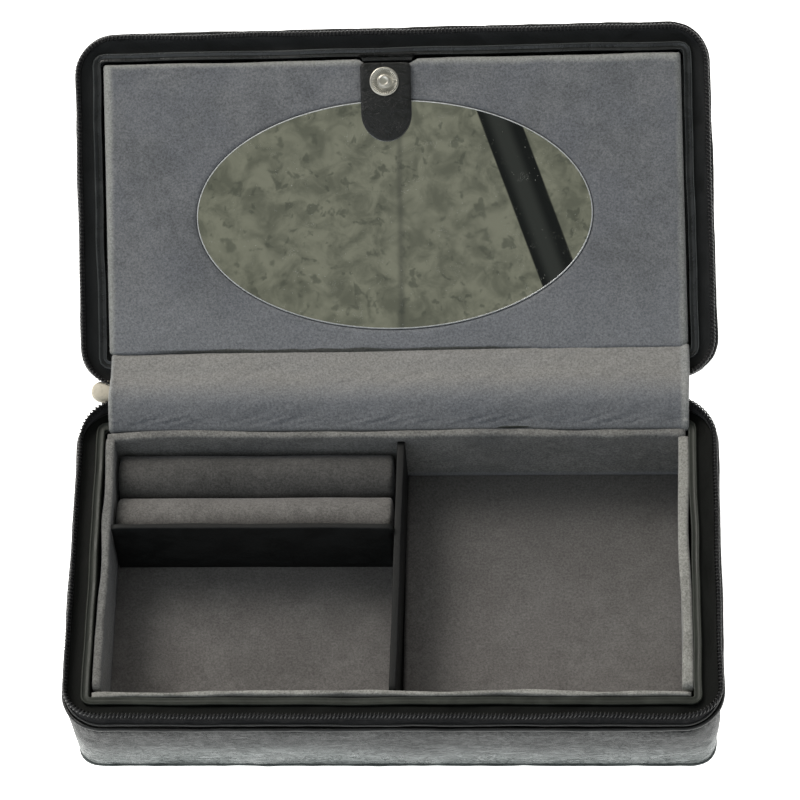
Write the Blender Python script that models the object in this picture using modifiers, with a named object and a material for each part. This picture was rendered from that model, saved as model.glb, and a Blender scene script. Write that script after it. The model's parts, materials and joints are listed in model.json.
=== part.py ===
"""Zip-around travel jewelry case, standing open: two board boxes in a leather skin with a folding spine.

The origin is the middle of the underside of the base. The front of the case faces -Y, the spine is at +Y
and +Z is up. Both halves are built by the same functions in a frame of their own: the rim plane is z = 0,
the spine side is +Y, and the half hangs below it. The spine and the lid are built flat and turned up by
empties that lie on the two fold lines.
"""

import math

import bmesh
import bpy
from mathutils import Matrix

# Outside of the case, in metres.
WIDTH = 0.248
DEPTH = 0.139
BASE_HEIGHT = 0.038
LID_HEIGHT = 0.020
SPINE_WIDTH = 0.009
CORNER_RADIUS = 0.016
DRAFT = 0.0023
FOLD_ANGLE = math.radians(14.25)

# Sheet and board thicknesses.
GAP = 0.0003
LEATHER = 0.0012
BOARD = 0.002
BOARD_INSET = 0.0029
SIDE_HEM = 0.001
COLLAR_THICKNESS = 0.0019
COLLAR_RISE = 0.0006
PAD_THICKNESS = 0.0032
PAD_RISE = 0.001
FLOOR_PAD = 0.003
LINING = 0.001

# The collar's outer half sizes. Everything inside the collar follows from them.
COLLAR_HALF_X = 0.1159
COLLAR_HALF_Y = 0.0606
COLLAR_INNER_X = COLLAR_HALF_X - COLLAR_THICKNESS
COLLAR_INNER_Y = COLLAR_HALF_Y - COLLAR_THICKNESS
LINED_HALF_X = COLLAR_INNER_X - GAP
LINED_HALF_Y = COLLAR_INNER_Y - GAP

# Rim: piping, binding and one stringer of the zip.
PIPING_RADIUS = 0.0008
PIPING_INSET = 0.0005
PIPING_DROP = 0.00055
BINDING_THICKNESS = 0.0006
BINDING_TOP = -0.0002
COIL_RADIUS = 0.0008
COIL_INSET = 0.0029
COIL_Z = SPINE_WIDTH / 2 - GAP / 2 - COIL_RADIUS
TAPE_LOW_Z = 0.0006
TAPE_THICKNESS = 0.0005
PIPING_END = math.radians(45)
ZIP_END = math.radians(60)

# Tray.
TRAY_HALF_X = 0.1122
TRAY_HALF_Y = 0.0573
LONG_DIVIDER_X = 0.0012
LONG_DIVIDER_THICKNESS = 0.0028
CROSS_DIVIDER_Y = 0.015
CROSS_DIVIDER_THICKNESS = 0.0022
LONG_DIVIDER_TOP = -0.002
CROSS_DIVIDER_TOP = 0.0008
ROLL_TOP = -0.0058

# Spine and lining flaps.
SPINE_HALF_X = 0.109
SPINE_LEATHER = 0.001
SPINE_BOARD = 0.0008
LINING_HALF_X = 0.113
FLAP_THICKNESS = 0.0012
FLAP_BOTTOM = 0.0009
SPINE_LINING = 0.0009
FLAP_FAR = DEPTH / 2 - SPINE_LEATHER - SPINE_BOARD - SPINE_LINING - 3 * GAP

# Mirror panel, in the lid's frame: y runs from the fold line to the free edge.
PANEL_HALF_X = 0.113
PANEL_NEAR = 0.0132
PANEL_AXIS_Y = 0.013
PANEL_FAR = 0.1272
PANEL_TOP = 0.0023
PANEL_THICKNESS = 0.0032
MIRROR_HALF_X = 0.0774
MIRROR_HALF_Y = 0.0448
MIRROR_Y = 0.0659
MIRROR_THICKNESS = 0.0013
PATCH_X = -0.0021
PATCH_WIDTH = 0.0197
PATCH_NEAR = 0.0945
PATCH_FAR = 0.1253
PATCH_THICKNESS = 0.0013
STUD_X = -0.0026
STUD_Y = 0.1178
STUD_RADIUS = 0.0057
FLAP_NEAR = DEPTH / 2 - PANEL_NEAR + GAP
NOTCH_X = -0.0014
NOTCH_HALF_X = 0.0104
NOTCH_DEPTH = 0.0016
LEDGE_WIDTH = 0.0039
LEDGE_THICKNESS = 0.003

# Snap strap, in the lid's frame.
STRAP_WIDTH = 0.0165
STRAP_ROOT_Y = 0.1273
STRAP_LENGTH = 0.019
STRAP_Z = -0.0039
STRAP_THICKNESS = 0.001
STRAP_DROOP = math.radians(22)

# Zip slider and pull, in the spine's frame.
SLIDER_X = -0.1148
SLIDER_LENGTH = 0.0108
SLIDER_WIDTH = 0.0082
SLIDER_TOP = 0.0021
SLIDER_BOTTOM = -0.0018
BAIL_LENGTH = 0.0052
BAIL_WIDTH = 0.0016
BAIL_HEIGHT = 0.0029
BAIL_BAR = 0.0009
PULL_LENGTH = 0.022
PULL_WIDTH = 0.005
PULL_THICKNESS = 0.0011
PULL_BAR = 0.0009
PULL_WINDOW = 0.0034
PULL_EYE_RADIUS = 0.0012
PULL_EYE_MARGIN = 0.003
CHANNEL_HALF_Y = 0.003
CHANNEL_HALF_Z = 0.0009
PULL_AXIS_DROP = 0.00085
SNAP_HOLE_RADIUS = 0.0016

CORNER_SEGMENTS = 8


def clear_scene():
    """Remove every object, so that the script can be run again."""
    for old in list(bpy.data.objects):
        bpy.data.objects.remove(old, do_unlink=True)


def new_collection(name):
    """Make a collection in the scene."""
    group = bpy.data.collections.new(name)
    bpy.context.scene.collection.children.link(group)
    return group


def new_material(name, colour, roughness, metallic=0.0):
    """Make a Principled material of one colour."""
    made = bpy.data.materials.new(name)
    made.use_nodes = True
    shader = made.node_tree.nodes["Principled BSDF"]
    shader.inputs["Base Color"].default_value = (*colour, 1.0)
    shader.inputs["Roughness"].default_value = roughness
    shader.inputs["Metallic"].default_value = metallic
    made.diffuse_color = (*colour, 1.0)
    return made


def new_empty(name, location, parent=None, turn_x=0.0, turn_z=0.0):
    """Make an empty to hang pieces on."""
    empty = bpy.data.objects.new(name, None)
    PARTS.objects.link(empty)
    empty.parent = parent
    empty.location = location
    empty.rotation_euler = (turn_x, 0.0, turn_z)
    return empty


def add_piece(name, mesh, parent, material):
    """Put a mesh in the scene as one piece of the case."""
    piece = bpy.data.objects.new(name, mesh)
    PARTS.objects.link(piece)
    piece.parent = parent
    mesh.materials.append(material)
    return piece


def add_cutter(name, mesh, parent):
    """Put a mesh in the scene as a cutter."""
    cutter = bpy.data.objects.new(name, mesh)
    CUTTERS.objects.link(cutter)
    cutter.parent = parent
    cutter.hide_render = True
    cutter.display_type = "WIRE"
    return cutter


def apply_boolean(piece, other, operation="DIFFERENCE"):
    """Add a Boolean between a piece and a cutter."""
    modifier = piece.modifiers.new(operation.lower(), "BOOLEAN")
    modifier.operation = operation
    modifier.solver = "EXACT"
    modifier.object = other


def soften(piece, width, segments=2):
    """Round a piece's edges."""
    modifier = piece.modifiers.new("soften", "BEVEL")
    modifier.width = width
    modifier.segments = segments
    modifier.limit_method = "ANGLE"
    modifier.angle_limit = math.radians(40)


def smooth(piece):
    """Shade a round piece smooth and keep its corners sharp."""
    piece.data.shade_smooth()
    piece.data.set_sharp_from_angle(angle=math.radians(35))


def box_mesh(name, low, high):
    """A box between two corners."""
    mesh = bpy.data.meshes.new(name)
    shape = bmesh.new()
    size = [b - a for a, b in zip(low, high)]
    middle = [(a + b) / 2 for a, b in zip(low, high)]
    place = Matrix.Translation(middle) @ Matrix.Diagonal((*size, 1.0))
    bmesh.ops.create_cube(shape, size=1.0, matrix=place)
    shape.to_mesh(mesh)
    shape.free()
    return mesh


def rounded_mesh(name, half_x, half_y, z_low, z_high, radius, low_inset=0.0):
    """A block with round upright corners. Its lower face can be smaller than its upper one."""
    mesh = bpy.data.meshes.new(name)
    shape = bmesh.new()
    place = Matrix.Translation((0, 0, (z_low + z_high) / 2))
    size = Matrix.Diagonal((2 * half_x, 2 * half_y, z_high - z_low, 1.0))
    bmesh.ops.create_cube(shape, size=1.0, matrix=place @ size)
    upright = [edge for edge in shape.edges if abs(edge.verts[0].co.z - edge.verts[1].co.z) > GAP]
    bmesh.ops.bevel(
        shape, geom=upright, offset=radius, segments=CORNER_SEGMENTS, profile=0.5, affect="EDGES")
    for vert in shape.verts:
        if vert.co.z < (z_low + z_high) / 2:
            vert.co.x *= (half_x - low_inset) / half_x
            vert.co.y *= (half_y - low_inset) / half_y
    shape.to_mesh(mesh)
    shape.free()
    return mesh


def turned_mesh(name, profile, z_offset, centre_x, centre_y, steps=32):
    """A turned piece. The profile runs down the outer side, from the axis at the top to the axis below."""
    outline = bpy.data.meshes.new(name + "_outline")
    points = [(radius, 0.0, height + z_offset) for radius, height in profile]
    edges = [(i, i + 1) for i in range(len(points) - 1)]
    outline.from_pydata(points, edges, [])
    holder = bpy.data.objects.new(name + "_outline", outline)
    PARTS.objects.link(holder)
    turn = holder.modifiers.new("turn", "SCREW")
    turn.steps = steps
    turn.render_steps = steps
    turn.use_merge_vertices = True
    turn.merge_threshold = 0.00001
    bpy.context.view_layer.update()
    depsgraph = bpy.context.evaluated_depsgraph_get()
    mesh = bpy.data.meshes.new_from_object(holder.evaluated_get(depsgraph))
    bpy.data.objects.remove(holder, do_unlink=True)
    mesh.transform(Matrix.Translation((centre_x, centre_y, 0)))
    return mesh


def rim_path(inset, z, end_angle):
    """Points of a path along the rim's free sides, from one spine corner round to the other."""
    centre_x = WIDTH / 2 - CORNER_RADIUS
    centre_y = DEPTH / 2 - CORNER_RADIUS
    radius = CORNER_RADIUS - inset
    corners = [(-1, 1, math.pi - end_angle, math.pi), (-1, -1, math.pi, 1.5 * math.pi),
               (1, -1, 1.5 * math.pi, 2 * math.pi), (1, 1, 2 * math.pi, 2 * math.pi + end_angle)]
    points = []
    for side_x, side_y, first, last in corners:
        for step in range(CORNER_SEGMENTS + 1):
            angle = first + (last - first) * step / CORNER_SEGMENTS
            x = side_x * centre_x + radius * math.cos(angle)
            y = side_y * centre_y + radius * math.sin(angle)
            points.append((x, y, z))
    return points


def rim_tube(name, inset, z, radius, end_angle, parent, material):
    """A round cord along the rim's free sides."""
    curve = bpy.data.curves.new(name, "CURVE")
    curve.dimensions = "3D"
    curve.bevel_depth = radius
    curve.bevel_resolution = 2
    curve.use_fill_caps = True
    points = rim_path(inset, z, end_angle)
    spline = curve.splines.new("POLY")
    spline.points.add(len(points) - 1)
    for point, place in zip(spline.points, points):
        point.co = (*place, 1.0)
    curve.materials.append(material)
    piece = bpy.data.objects.new(name, curve)
    PARTS.objects.link(piece)
    piece.parent = parent
    return piece


def rim_band(name, low, high, thickness, end_angle, parent, material):
    """A flat band along the rim's free sides. Its edges are given as (inset, z)."""
    mesh = bpy.data.meshes.new(name)
    shape = bmesh.new()
    low_verts = [shape.verts.new(point) for point in rim_path(*low, end_angle)]
    high_verts = [shape.verts.new(point) for point in rim_path(*high, end_angle)]
    for i in range(len(low_verts) - 1):
        shape.faces.new((low_verts[i], low_verts[i + 1], high_verts[i + 1], high_verts[i]))
    shape.to_mesh(mesh)
    shape.free()
    piece = add_piece(name, mesh, parent, material)
    shell = piece.modifiers.new("thickness", "SOLIDIFY")
    shell.thickness = thickness
    shell.offset = 0.0
    shell.use_even_offset = True
    return piece


def make_materials():
    """The case's materials, by name."""
    return {
        "leather": new_material("leather", (0.030, 0.032, 0.031), 0.38),
        "lining_black": new_material("lining_black", (0.012, 0.013, 0.013), 0.6),
        "board": new_material("board", (0.30, 0.26, 0.20), 0.85),
        "hardboard": new_material("hardboard", (0.28, 0.20, 0.13), 0.8),
        "suede": new_material("suede", (0.15, 0.155, 0.16), 0.95),
        "suede_warm": new_material("suede_warm", (0.17, 0.16, 0.145), 0.95),
        "zip_tape": new_material("zip_tape", (0.012, 0.012, 0.012), 0.8),
        "zip_coil": new_material("zip_coil", (0.03, 0.03, 0.03), 0.4),
        "mirror": new_material("mirror", (0.75, 0.77, 0.74), 0.02, 1.0),
        "nickel": new_material("nickel", (0.62, 0.60, 0.56), 0.3, 1.0),
        "slider": new_material("slider", (0.62, 0.56, 0.44), 0.4, 0.6),
    }


def build_leather(prefix, height, centre, look):
    """The skin of one half: a flat outer panel, and a band round the sides that is turned in above it."""
    half_x = WIDTH / 2
    half_y = DEPTH / 2
    panel = rounded_mesh(
        prefix + "_outer_leather", half_x - DRAFT, half_y - DRAFT,
        -height, LEATHER - height, CORNER_RADIUS - DRAFT)
    add_piece(prefix + "_outer_leather", panel, centre, look["leather"])
    top = -PIPING_DROP - PIPING_RADIUS - GAP
    low = LEATHER + GAP - height
    edge_inset = DRAFT * top / low
    band = rounded_mesh(
        prefix + "_side_leather", half_x - edge_inset, half_y - edge_inset,
        low, top, CORNER_RADIUS, DRAFT - edge_inset)
    piece = add_piece(prefix + "_side_leather", band, centre, look["leather"])
    hem = piece.modifiers.new("outer_edge", "BEVEL")
    hem.width = SIDE_HEM
    hem.segments = 2
    hem.limit_method = "ANGLE"
    hem.angle_limit = math.radians(60)
    hollow = rounded_mesh(
        prefix + "_side_hollow", half_x - edge_inset - LEATHER, half_y - edge_inset - LEATHER,
        low - LEATHER, top + LEATHER, CORNER_RADIUS - LEATHER, DRAFT - edge_inset + GAP)
    apply_boolean(piece, add_cutter(prefix + "_side_hollow", hollow, centre))
    rim_tube(
        prefix + "_rim_piping", PIPING_INSET, -PIPING_DROP, PIPING_RADIUS, PIPING_END,
        centre, look["leather"])


def build_boards(prefix, height, board, centre):
    """The stiff box inside the skin: an outer board and four wall boards that stand on it."""
    half_x = WIDTH / 2
    half_y = DEPTH / 2
    board_inset = DRAFT + BOARD_INSET
    board_low = LEATHER + GAP - height
    plate = rounded_mesh(
        prefix + "_outer_board", half_x - board_inset, half_y - board_inset,
        board_low, board_low + BOARD, CORNER_RADIUS - board_inset)
    add_piece(prefix + "_outer_board", plate, centre, board)
    wall_low = board_low + BOARD + GAP
    wall_top = BINDING_TOP - BINDING_THICKNESS - GAP
    wall_inset = LEATHER + 2 * GAP
    inner_x = COLLAR_HALF_X + GAP
    inner_y = COLLAR_HALF_Y + GAP
    far_x = half_x + LEATHER
    far_y = half_y + LEATHER
    cuts = {
        "front": ((-inner_x + GAP, -far_y), (inner_x - GAP, -inner_y)),
        "rear": ((-inner_x + GAP, inner_y), (inner_x - GAP, far_y)),
        "left": ((-far_x, -far_y), (-inner_x, far_y)),
        "right": ((inner_x, -far_y), (far_x, far_y)),
    }
    for side, (low, high) in cuts.items():
        name = prefix + "_wall_board_" + side
        block = rounded_mesh(
            name, half_x - wall_inset, half_y - wall_inset, wall_low, wall_top,
            CORNER_RADIUS - wall_inset, DRAFT)
        piece = add_piece(name, block, centre, board)
        slab = box_mesh(name + "_slab", (*low, wall_low - GAP), (*high, wall_top + GAP))
        apply_boolean(piece, add_cutter(name + "_slab", slab, centre), "INTERSECT")


def build_collar(prefix, height, centre, look):
    """The black collar that stands inside the walls, and the binding that covers the wall tops."""
    low = LEATHER + BOARD + 2 * GAP - height
    ring = rounded_mesh(
        prefix + "_collar", COLLAR_HALF_X, COLLAR_HALF_Y, low, COLLAR_RISE, 0.004)
    collar = add_piece(prefix + "_collar", ring, centre, look["lining_black"])
    hole = rounded_mesh(
        prefix + "_collar_hole", COLLAR_INNER_X, COLLAR_INNER_Y, low - BOARD, COLLAR_RISE + BOARD, 0.0008)
    apply_boolean(collar, add_cutter(prefix + "_collar_hole", hole, centre))
    inset = PIPING_INSET + PIPING_RADIUS + GAP
    cover = rounded_mesh(
        prefix + "_rim_binding", WIDTH / 2 - inset, DEPTH / 2 - inset,
        BINDING_TOP - BINDING_THICKNESS, BINDING_TOP, CORNER_RADIUS - inset)
    binding = add_piece(prefix + "_rim_binding", cover, centre, look["lining_black"])
    window = rounded_mesh(
        prefix + "_binding_window", COLLAR_HALF_X + GAP, COLLAR_HALF_Y + GAP,
        BINDING_TOP - BOARD, BINDING_TOP + BOARD, 0.0043)
    apply_boolean(binding, add_cutter(prefix + "_binding_window", window, centre))


def build_stringer(prefix, centre, look):
    """One stringer of the zip, leaning in from the rim: the tape and the bead of the coil along its edge."""
    low = (PIPING_INSET + PIPING_RADIUS + 2 * GAP, TAPE_LOW_Z)
    high = (COIL_INSET, COIL_Z - COIL_RADIUS - GAP)
    rim_band(prefix + "_zip_tape", low, high, TAPE_THICKNESS, ZIP_END, centre, look["zip_tape"])
    rim_tube(prefix + "_zip_coil", COIL_INSET, COIL_Z, COIL_RADIUS, ZIP_END, centre, look["zip_coil"])


def build_half(prefix, height, board, centre, look):
    """Everything that the base and the lid have in common."""
    build_leather(prefix, height, centre, look)
    build_boards(prefix, height, board, centre)
    build_collar(prefix, height, centre, look)
    build_stringer(prefix, centre, look)
    flap = box_mesh(
        prefix + "_lining_flap", (-LINING_HALF_X, FLAP_NEAR, FLAP_BOTTOM),
        (LINING_HALF_X, FLAP_FAR, FLAP_BOTTOM + FLAP_THICKNESS))
    soften(add_piece(prefix + "_lining_flap", flap, centre, look["suede"]), 0.0004)


def build_tray(centre, look):
    """The padded tray in the base: floor, walls, dividers and ring rolls."""
    floor_low = LEATHER + BOARD + 2 * GAP - BASE_HEIGHT
    floor_top = floor_low + FLOOR_PAD
    wall_low = floor_top + GAP
    divider_left = LONG_DIVIDER_X - LONG_DIVIDER_THICKNESS / 2
    divider_right = LONG_DIVIDER_X + LONG_DIVIDER_THICKNESS / 2
    inner_x = TRAY_HALF_X - PAD_THICKNESS
    inner_y = TRAY_HALF_Y - PAD_THICKNESS
    cross_near = CROSS_DIVIDER_Y - CROSS_DIVIDER_THICKNESS / 2
    cross_far = CROSS_DIVIDER_Y + CROSS_DIVIDER_THICKNESS / 2

    floors = {"left": (-LINED_HALF_X, divider_left - GAP), "right": (divider_right + GAP, LINED_HALF_X)}
    for side, (low_x, high_x) in floors.items():
        name = "floor_pad_" + side
        pad = box_mesh(name, (low_x, -LINED_HALF_Y, floor_low), (high_x, LINED_HALF_Y, floor_top))
        soften(add_piece(name, pad, centre, look["suede_warm"]), 0.0008)

    side_y = inner_y - GAP
    walls = {
        "front": ((-TRAY_HALF_X, -TRAY_HALF_Y), (TRAY_HALF_X, -inner_y)),
        "rear": ((-TRAY_HALF_X, inner_y), (TRAY_HALF_X, TRAY_HALF_Y)),
        "left": ((-TRAY_HALF_X, -side_y), (-inner_x, side_y)),
        "right": ((inner_x, -side_y), (TRAY_HALF_X, side_y)),
    }
    for side, (low, high) in walls.items():
        name = "tray_pad_" + side
        pad = box_mesh(name, (*low, wall_low), (*high, PAD_RISE))
        soften(add_piece(name, pad, centre, look["suede"]), 0.001)

    long_divider = box_mesh(
        "divider_long", (divider_left, GAP - inner_y, floor_low),
        (divider_right, inner_y - GAP, LONG_DIVIDER_TOP))
    soften(add_piece("divider_long", long_divider, centre, look["lining_black"]), 0.0005)
    left_x = GAP - inner_x
    right_x = divider_left - GAP
    cross = box_mesh(
        "divider_cross", (left_x, cross_near, wall_low), (right_x, cross_far, CROSS_DIVIDER_TOP))
    soften(add_piece("divider_cross", cross, centre, look["lining_black"]), 0.0005)

    roll_near = cross_far + GAP
    roll_width = (inner_y - cross_far - 3 * GAP) / 2
    for place, near in (("front", roll_near), ("rear", roll_near + roll_width + GAP)):
        name = "ring_roll_" + place
        roll = box_mesh(name, (left_x, near, wall_low), (right_x, near + roll_width, ROLL_TOP))
        piece = add_piece(name, roll, centre, look["suede_warm"])
        round_top(piece.data, roll_width / 2 - GAP)


def round_top(mesh, radius):
    """Round the two long upper edges of a box into one half-round top."""
    shape = bmesh.new()
    shape.from_mesh(mesh)
    top = max(vert.co.z for vert in shape.verts)
    edges = []
    for edge in shape.edges:
        first, second = edge.verts
        is_top = first.co.z > top - GAP and second.co.z > top - GAP
        if is_top and abs(first.co.x - second.co.x) > radius:
            edges.append(edge)
    bmesh.ops.bevel(shape, geom=edges, offset=radius, segments=8, profile=0.5, affect="EDGES")
    shape.to_mesh(mesh)
    shape.free()


def build_spine(axis, look):
    """The folding strip between the halves, in a frame whose y runs from the base's rim to the lid's."""
    low_y = GAP / 2
    high_y = SPINE_WIDTH - GAP / 2
    board_z = SPINE_LEATHER + GAP
    lining_z = board_z + SPINE_BOARD + GAP
    layers = (
        ("spine_leather", SPINE_HALF_X, 0.0, SPINE_LEATHER, "leather"),
        ("spine_board", SPINE_HALF_X, board_z, SPINE_BOARD, "board"),
        ("spine_lining", LINING_HALF_X, lining_z, SPINE_LINING, "suede"),
    )
    for name, half_x, low_z, thickness, slot in layers:
        sheet = box_mesh(name, (-half_x, low_y, low_z), (half_x, high_y, low_z + thickness))
        add_piece(name, sheet, axis, look[slot])


def build_slider(axis, look):
    """The zip's slider: a sleeve with a channel for the coils, and a bail on its outer face."""
    middle_y = SPINE_WIDTH / 2
    low_x = SLIDER_X - SLIDER_LENGTH / 2
    high_x = SLIDER_X + SLIDER_LENGTH / 2
    sleeve = box_mesh(
        "zip_slider", (low_x, middle_y - SLIDER_WIDTH / 2, SLIDER_BOTTOM),
        (high_x, middle_y + SLIDER_WIDTH / 2, SLIDER_TOP))
    slider = add_piece("zip_slider", sleeve, axis, look["slider"])
    soften(slider, 0.0009, 3)
    channel_z = (SLIDER_TOP + SLIDER_BOTTOM) / 2
    channel = box_mesh(
        "slider_channel", (low_x - BOARD, middle_y - CHANNEL_HALF_Y, channel_z - CHANNEL_HALF_Z),
        (high_x + BOARD, middle_y + CHANNEL_HALF_Y, channel_z + CHANNEL_HALF_Z))
    apply_boolean(slider, add_cutter("slider_channel", channel, axis))
    bridge = box_mesh(
        "slider_bail", (SLIDER_X - BAIL_LENGTH / 2, middle_y - BAIL_WIDTH / 2, SLIDER_BOTTOM - BAIL_HEIGHT),
        (SLIDER_X + BAIL_LENGTH / 2, middle_y + BAIL_WIDTH / 2, SLIDER_BOTTOM + BAIL_BAR))
    apply_boolean(slider, add_cutter("slider_bail", bridge, axis), "UNION")
    half_hole = BAIL_LENGTH / 2 - BAIL_BAR
    hole = box_mesh(
        "bail_hole", (SLIDER_X - half_hole, middle_y - BAIL_WIDTH, BAIL_BAR + SLIDER_BOTTOM - BAIL_HEIGHT),
        (SLIDER_X + half_hole, middle_y + BAIL_WIDTH, SLIDER_BOTTOM - GAP))
    apply_boolean(slider, add_cutter("bail_hole", hole, axis))


def build_pull(axis, look):
    """The zip's pull, hanging straight down from the bail. Its top bar lies on the axis."""
    tongue = box_mesh(
        "zip_pull", (-PULL_THICKNESS / 2, -PULL_WIDTH / 2, PULL_BAR / 2 - PULL_LENGTH),
        (PULL_THICKNESS / 2, PULL_WIDTH / 2, PULL_BAR / 2))
    pull = add_piece("zip_pull", tongue, axis, look["slider"])
    window_half = BAIL_WIDTH / 2 + 0.0006
    window = box_mesh(
        "pull_window", (-PULL_THICKNESS, -window_half, -PULL_BAR / 2 - PULL_WINDOW),
        (PULL_THICKNESS, window_half, -PULL_BAR / 2))
    apply_boolean(pull, add_cutter("pull_window", window, axis))
    hole_z = PULL_EYE_MARGIN - PULL_LENGTH
    eye = bpy.data.meshes.new("pull_eye")
    shape = bmesh.new()
    place = Matrix.Translation((0, 0, hole_z)) @ Matrix.Rotation(math.pi / 2, 4, "Y")
    bmesh.ops.create_cone(
        shape, cap_ends=True, segments=20, radius1=PULL_EYE_RADIUS, radius2=PULL_EYE_RADIUS,
        depth=4 * PULL_THICKNESS, matrix=place)
    shape.to_mesh(eye)
    shape.free()
    apply_boolean(pull, add_cutter("pull_eye", eye, axis))


def build_pocket(centre, look):
    """What lines the lid behind the mirror panel, and the ledges that carry the panel."""
    low = LEATHER + BOARD + 2 * GAP - LID_HEIGHT
    lining = rounded_mesh("lid_back_lining", LINED_HALF_X, LINED_HALF_Y, low, low + LINING, 0.0008)
    add_piece("lid_back_lining", lining, centre, look["suede"])
    ledge_top = PANEL_TOP - PANEL_THICKNESS - GAP
    ledge_low = ledge_top - LEDGE_THICKNESS
    side_y = LINED_HALF_Y - LEDGE_WIDTH - 2 * GAP
    inner_x = LINED_HALF_X - LEDGE_WIDTH
    ledges = {
        "left": ((-LINED_HALF_X, -side_y), (-inner_x, side_y)),
        "right": ((inner_x, -side_y), (LINED_HALF_X, side_y)),
        "hinge": ((-LINED_HALF_X, LINED_HALF_Y - LEDGE_WIDTH), (LINED_HALF_X, LINED_HALF_Y)),
    }
    for side, (first, last) in ledges.items():
        name = "panel_ledge_" + side
        batten = box_mesh(name, (*first, ledge_low), (*last, ledge_top))
        add_piece(name, batten, centre, look["lining_black"])


def oval_mesh(name, half_x, half_y, middle_y, z_low, z_high):
    """An upright oval disc."""
    mesh = bpy.data.meshes.new(name)
    shape = bmesh.new()
    place = Matrix.Translation((0, middle_y, (z_low + z_high) / 2))
    size = Matrix.Diagonal((half_x, half_y, 1.0, 1.0))
    bmesh.ops.create_cone(
        shape, cap_ends=True, segments=72, radius1=1.0, radius2=1.0,
        depth=z_high - z_low, matrix=place @ size)
    shape.to_mesh(mesh)
    shape.free()
    return mesh


def drill(name, piece, x, y, radius, z_low, z_high, parent):
    """Cut a round hole through a piece."""
    mesh = bpy.data.meshes.new(name)
    shape = bmesh.new()
    place = Matrix.Translation((x, y, (z_low + z_high) / 2))
    bmesh.ops.create_cone(
        shape, cap_ends=True, segments=20, radius1=radius, radius2=radius,
        depth=z_high - z_low, matrix=place)
    shape.to_mesh(mesh)
    shape.free()
    apply_boolean(piece, add_cutter(name, mesh, parent))


def build_panel(axis, look):
    """The flap that closes the lid's pocket, with its mirror. The frame's origin is on the flap's hinge."""
    near = PANEL_NEAR - PANEL_AXIS_Y
    far = PANEL_FAR - PANEL_AXIS_Y
    back = -PANEL_THICKNESS
    board = box_mesh("mirror_panel", (-PANEL_HALF_X, near, back), (PANEL_HALF_X, far, 0.0))
    panel = add_piece("mirror_panel", board, axis, look["suede"])
    soften(panel, 0.0007)
    mirror_y = MIRROR_Y - PANEL_AXIS_Y
    recess = oval_mesh(
        "mirror_recess", MIRROR_HALF_X + GAP, MIRROR_HALF_Y + GAP, mirror_y,
        -MIRROR_THICKNESS - GAP, PANEL_THICKNESS)
    apply_boolean(panel, add_cutter("mirror_recess", recess, axis))
    glass = oval_mesh("mirror_glass", MIRROR_HALF_X, MIRROR_HALF_Y, mirror_y, -MIRROR_THICKNESS, 0.0)
    mirror = add_piece("mirror_glass", glass, axis, look["mirror"])
    soften(mirror, 0.0003, 1)
    notch = box_mesh(
        "panel_notch", (NOTCH_X - NOTCH_HALF_X, far - NOTCH_DEPTH, back - BOARD),
        (NOTCH_X + NOTCH_HALF_X, far + BOARD, BOARD))
    apply_boolean(panel, add_cutter("panel_notch", notch, axis))
    drill("panel_hole", panel, STUD_X, STUD_Y - PANEL_AXIS_Y, SNAP_HOLE_RADIUS, back - BOARD, BOARD, axis)


def build_snap(axis, look):
    """The snap on the panel: a leather patch, the stud that is pressed through it, and the rivet behind."""
    low_y = PATCH_NEAR - PANEL_AXIS_Y
    high_y = PATCH_FAR - PANEL_AXIS_Y
    half = PATCH_WIDTH / 2
    patch = bpy.data.meshes.new("snap_patch")
    shape = bmesh.new()
    place = Matrix.Translation((PATCH_X, (low_y + high_y) / 2, GAP + PATCH_THICKNESS / 2))
    size = Matrix.Diagonal((PATCH_WIDTH, high_y - low_y, PATCH_THICKNESS, 1.0))
    bmesh.ops.create_cube(shape, size=1.0, matrix=place @ size)
    upright = [edge for edge in shape.edges if abs(edge.verts[0].co.z - edge.verts[1].co.z) > GAP]
    lower = [edge for edge in upright if edge.verts[0].co.y < (low_y + high_y) / 2]
    upper = [edge for edge in upright if edge.verts[0].co.y > (low_y + high_y) / 2]
    bmesh.ops.bevel(shape, geom=upper, offset=0.002, segments=4, profile=0.5, affect="EDGES")
    bmesh.ops.bevel(shape, geom=lower, offset=half - GAP, segments=10, profile=0.5, affect="EDGES")
    shape.to_mesh(patch)
    shape.free()
    piece = add_piece("snap_patch", patch, axis, look["leather"])
    stud_y = STUD_Y - PANEL_AXIS_Y
    drill("patch_hole", piece, STUD_X, stud_y, SNAP_HOLE_RADIUS, -BOARD, 2 * BOARD, axis)
    seat = GAP + PATCH_THICKNESS + GAP
    stud_profile = [
        (0.0, 0.0030), (0.0015, 0.0029), (0.0021, 0.0025), (0.0022, 0.0020), (0.0018, 0.0013),
        (0.0019, 0.0007), (0.0030, 0.0005), (0.0044, 0.0007), (0.0052, 0.0009), (STUD_RADIUS, 0.0005),
        (STUD_RADIUS, 0.0), (0.0012, 0.0), (0.0012, -seat - PANEL_THICKNESS), (0.0, -seat - PANEL_THICKNESS),
    ]
    stud = turned_mesh("snap_stud", stud_profile, seat, STUD_X, stud_y)
    smooth(add_piece("snap_stud", stud, axis, look["nickel"]))
    rivet_profile = [(0.0, 0.0), (0.0034, 0.0), (0.0034, -0.0003), (0.0028, -0.0008), (0.0, -0.0009)]
    rivet = turned_mesh("snap_rivet", rivet_profile, -PANEL_THICKNESS - GAP, STUD_X, stud_y)
    smooth(add_piece("snap_rivet", rivet, axis, look["nickel"]))


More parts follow.
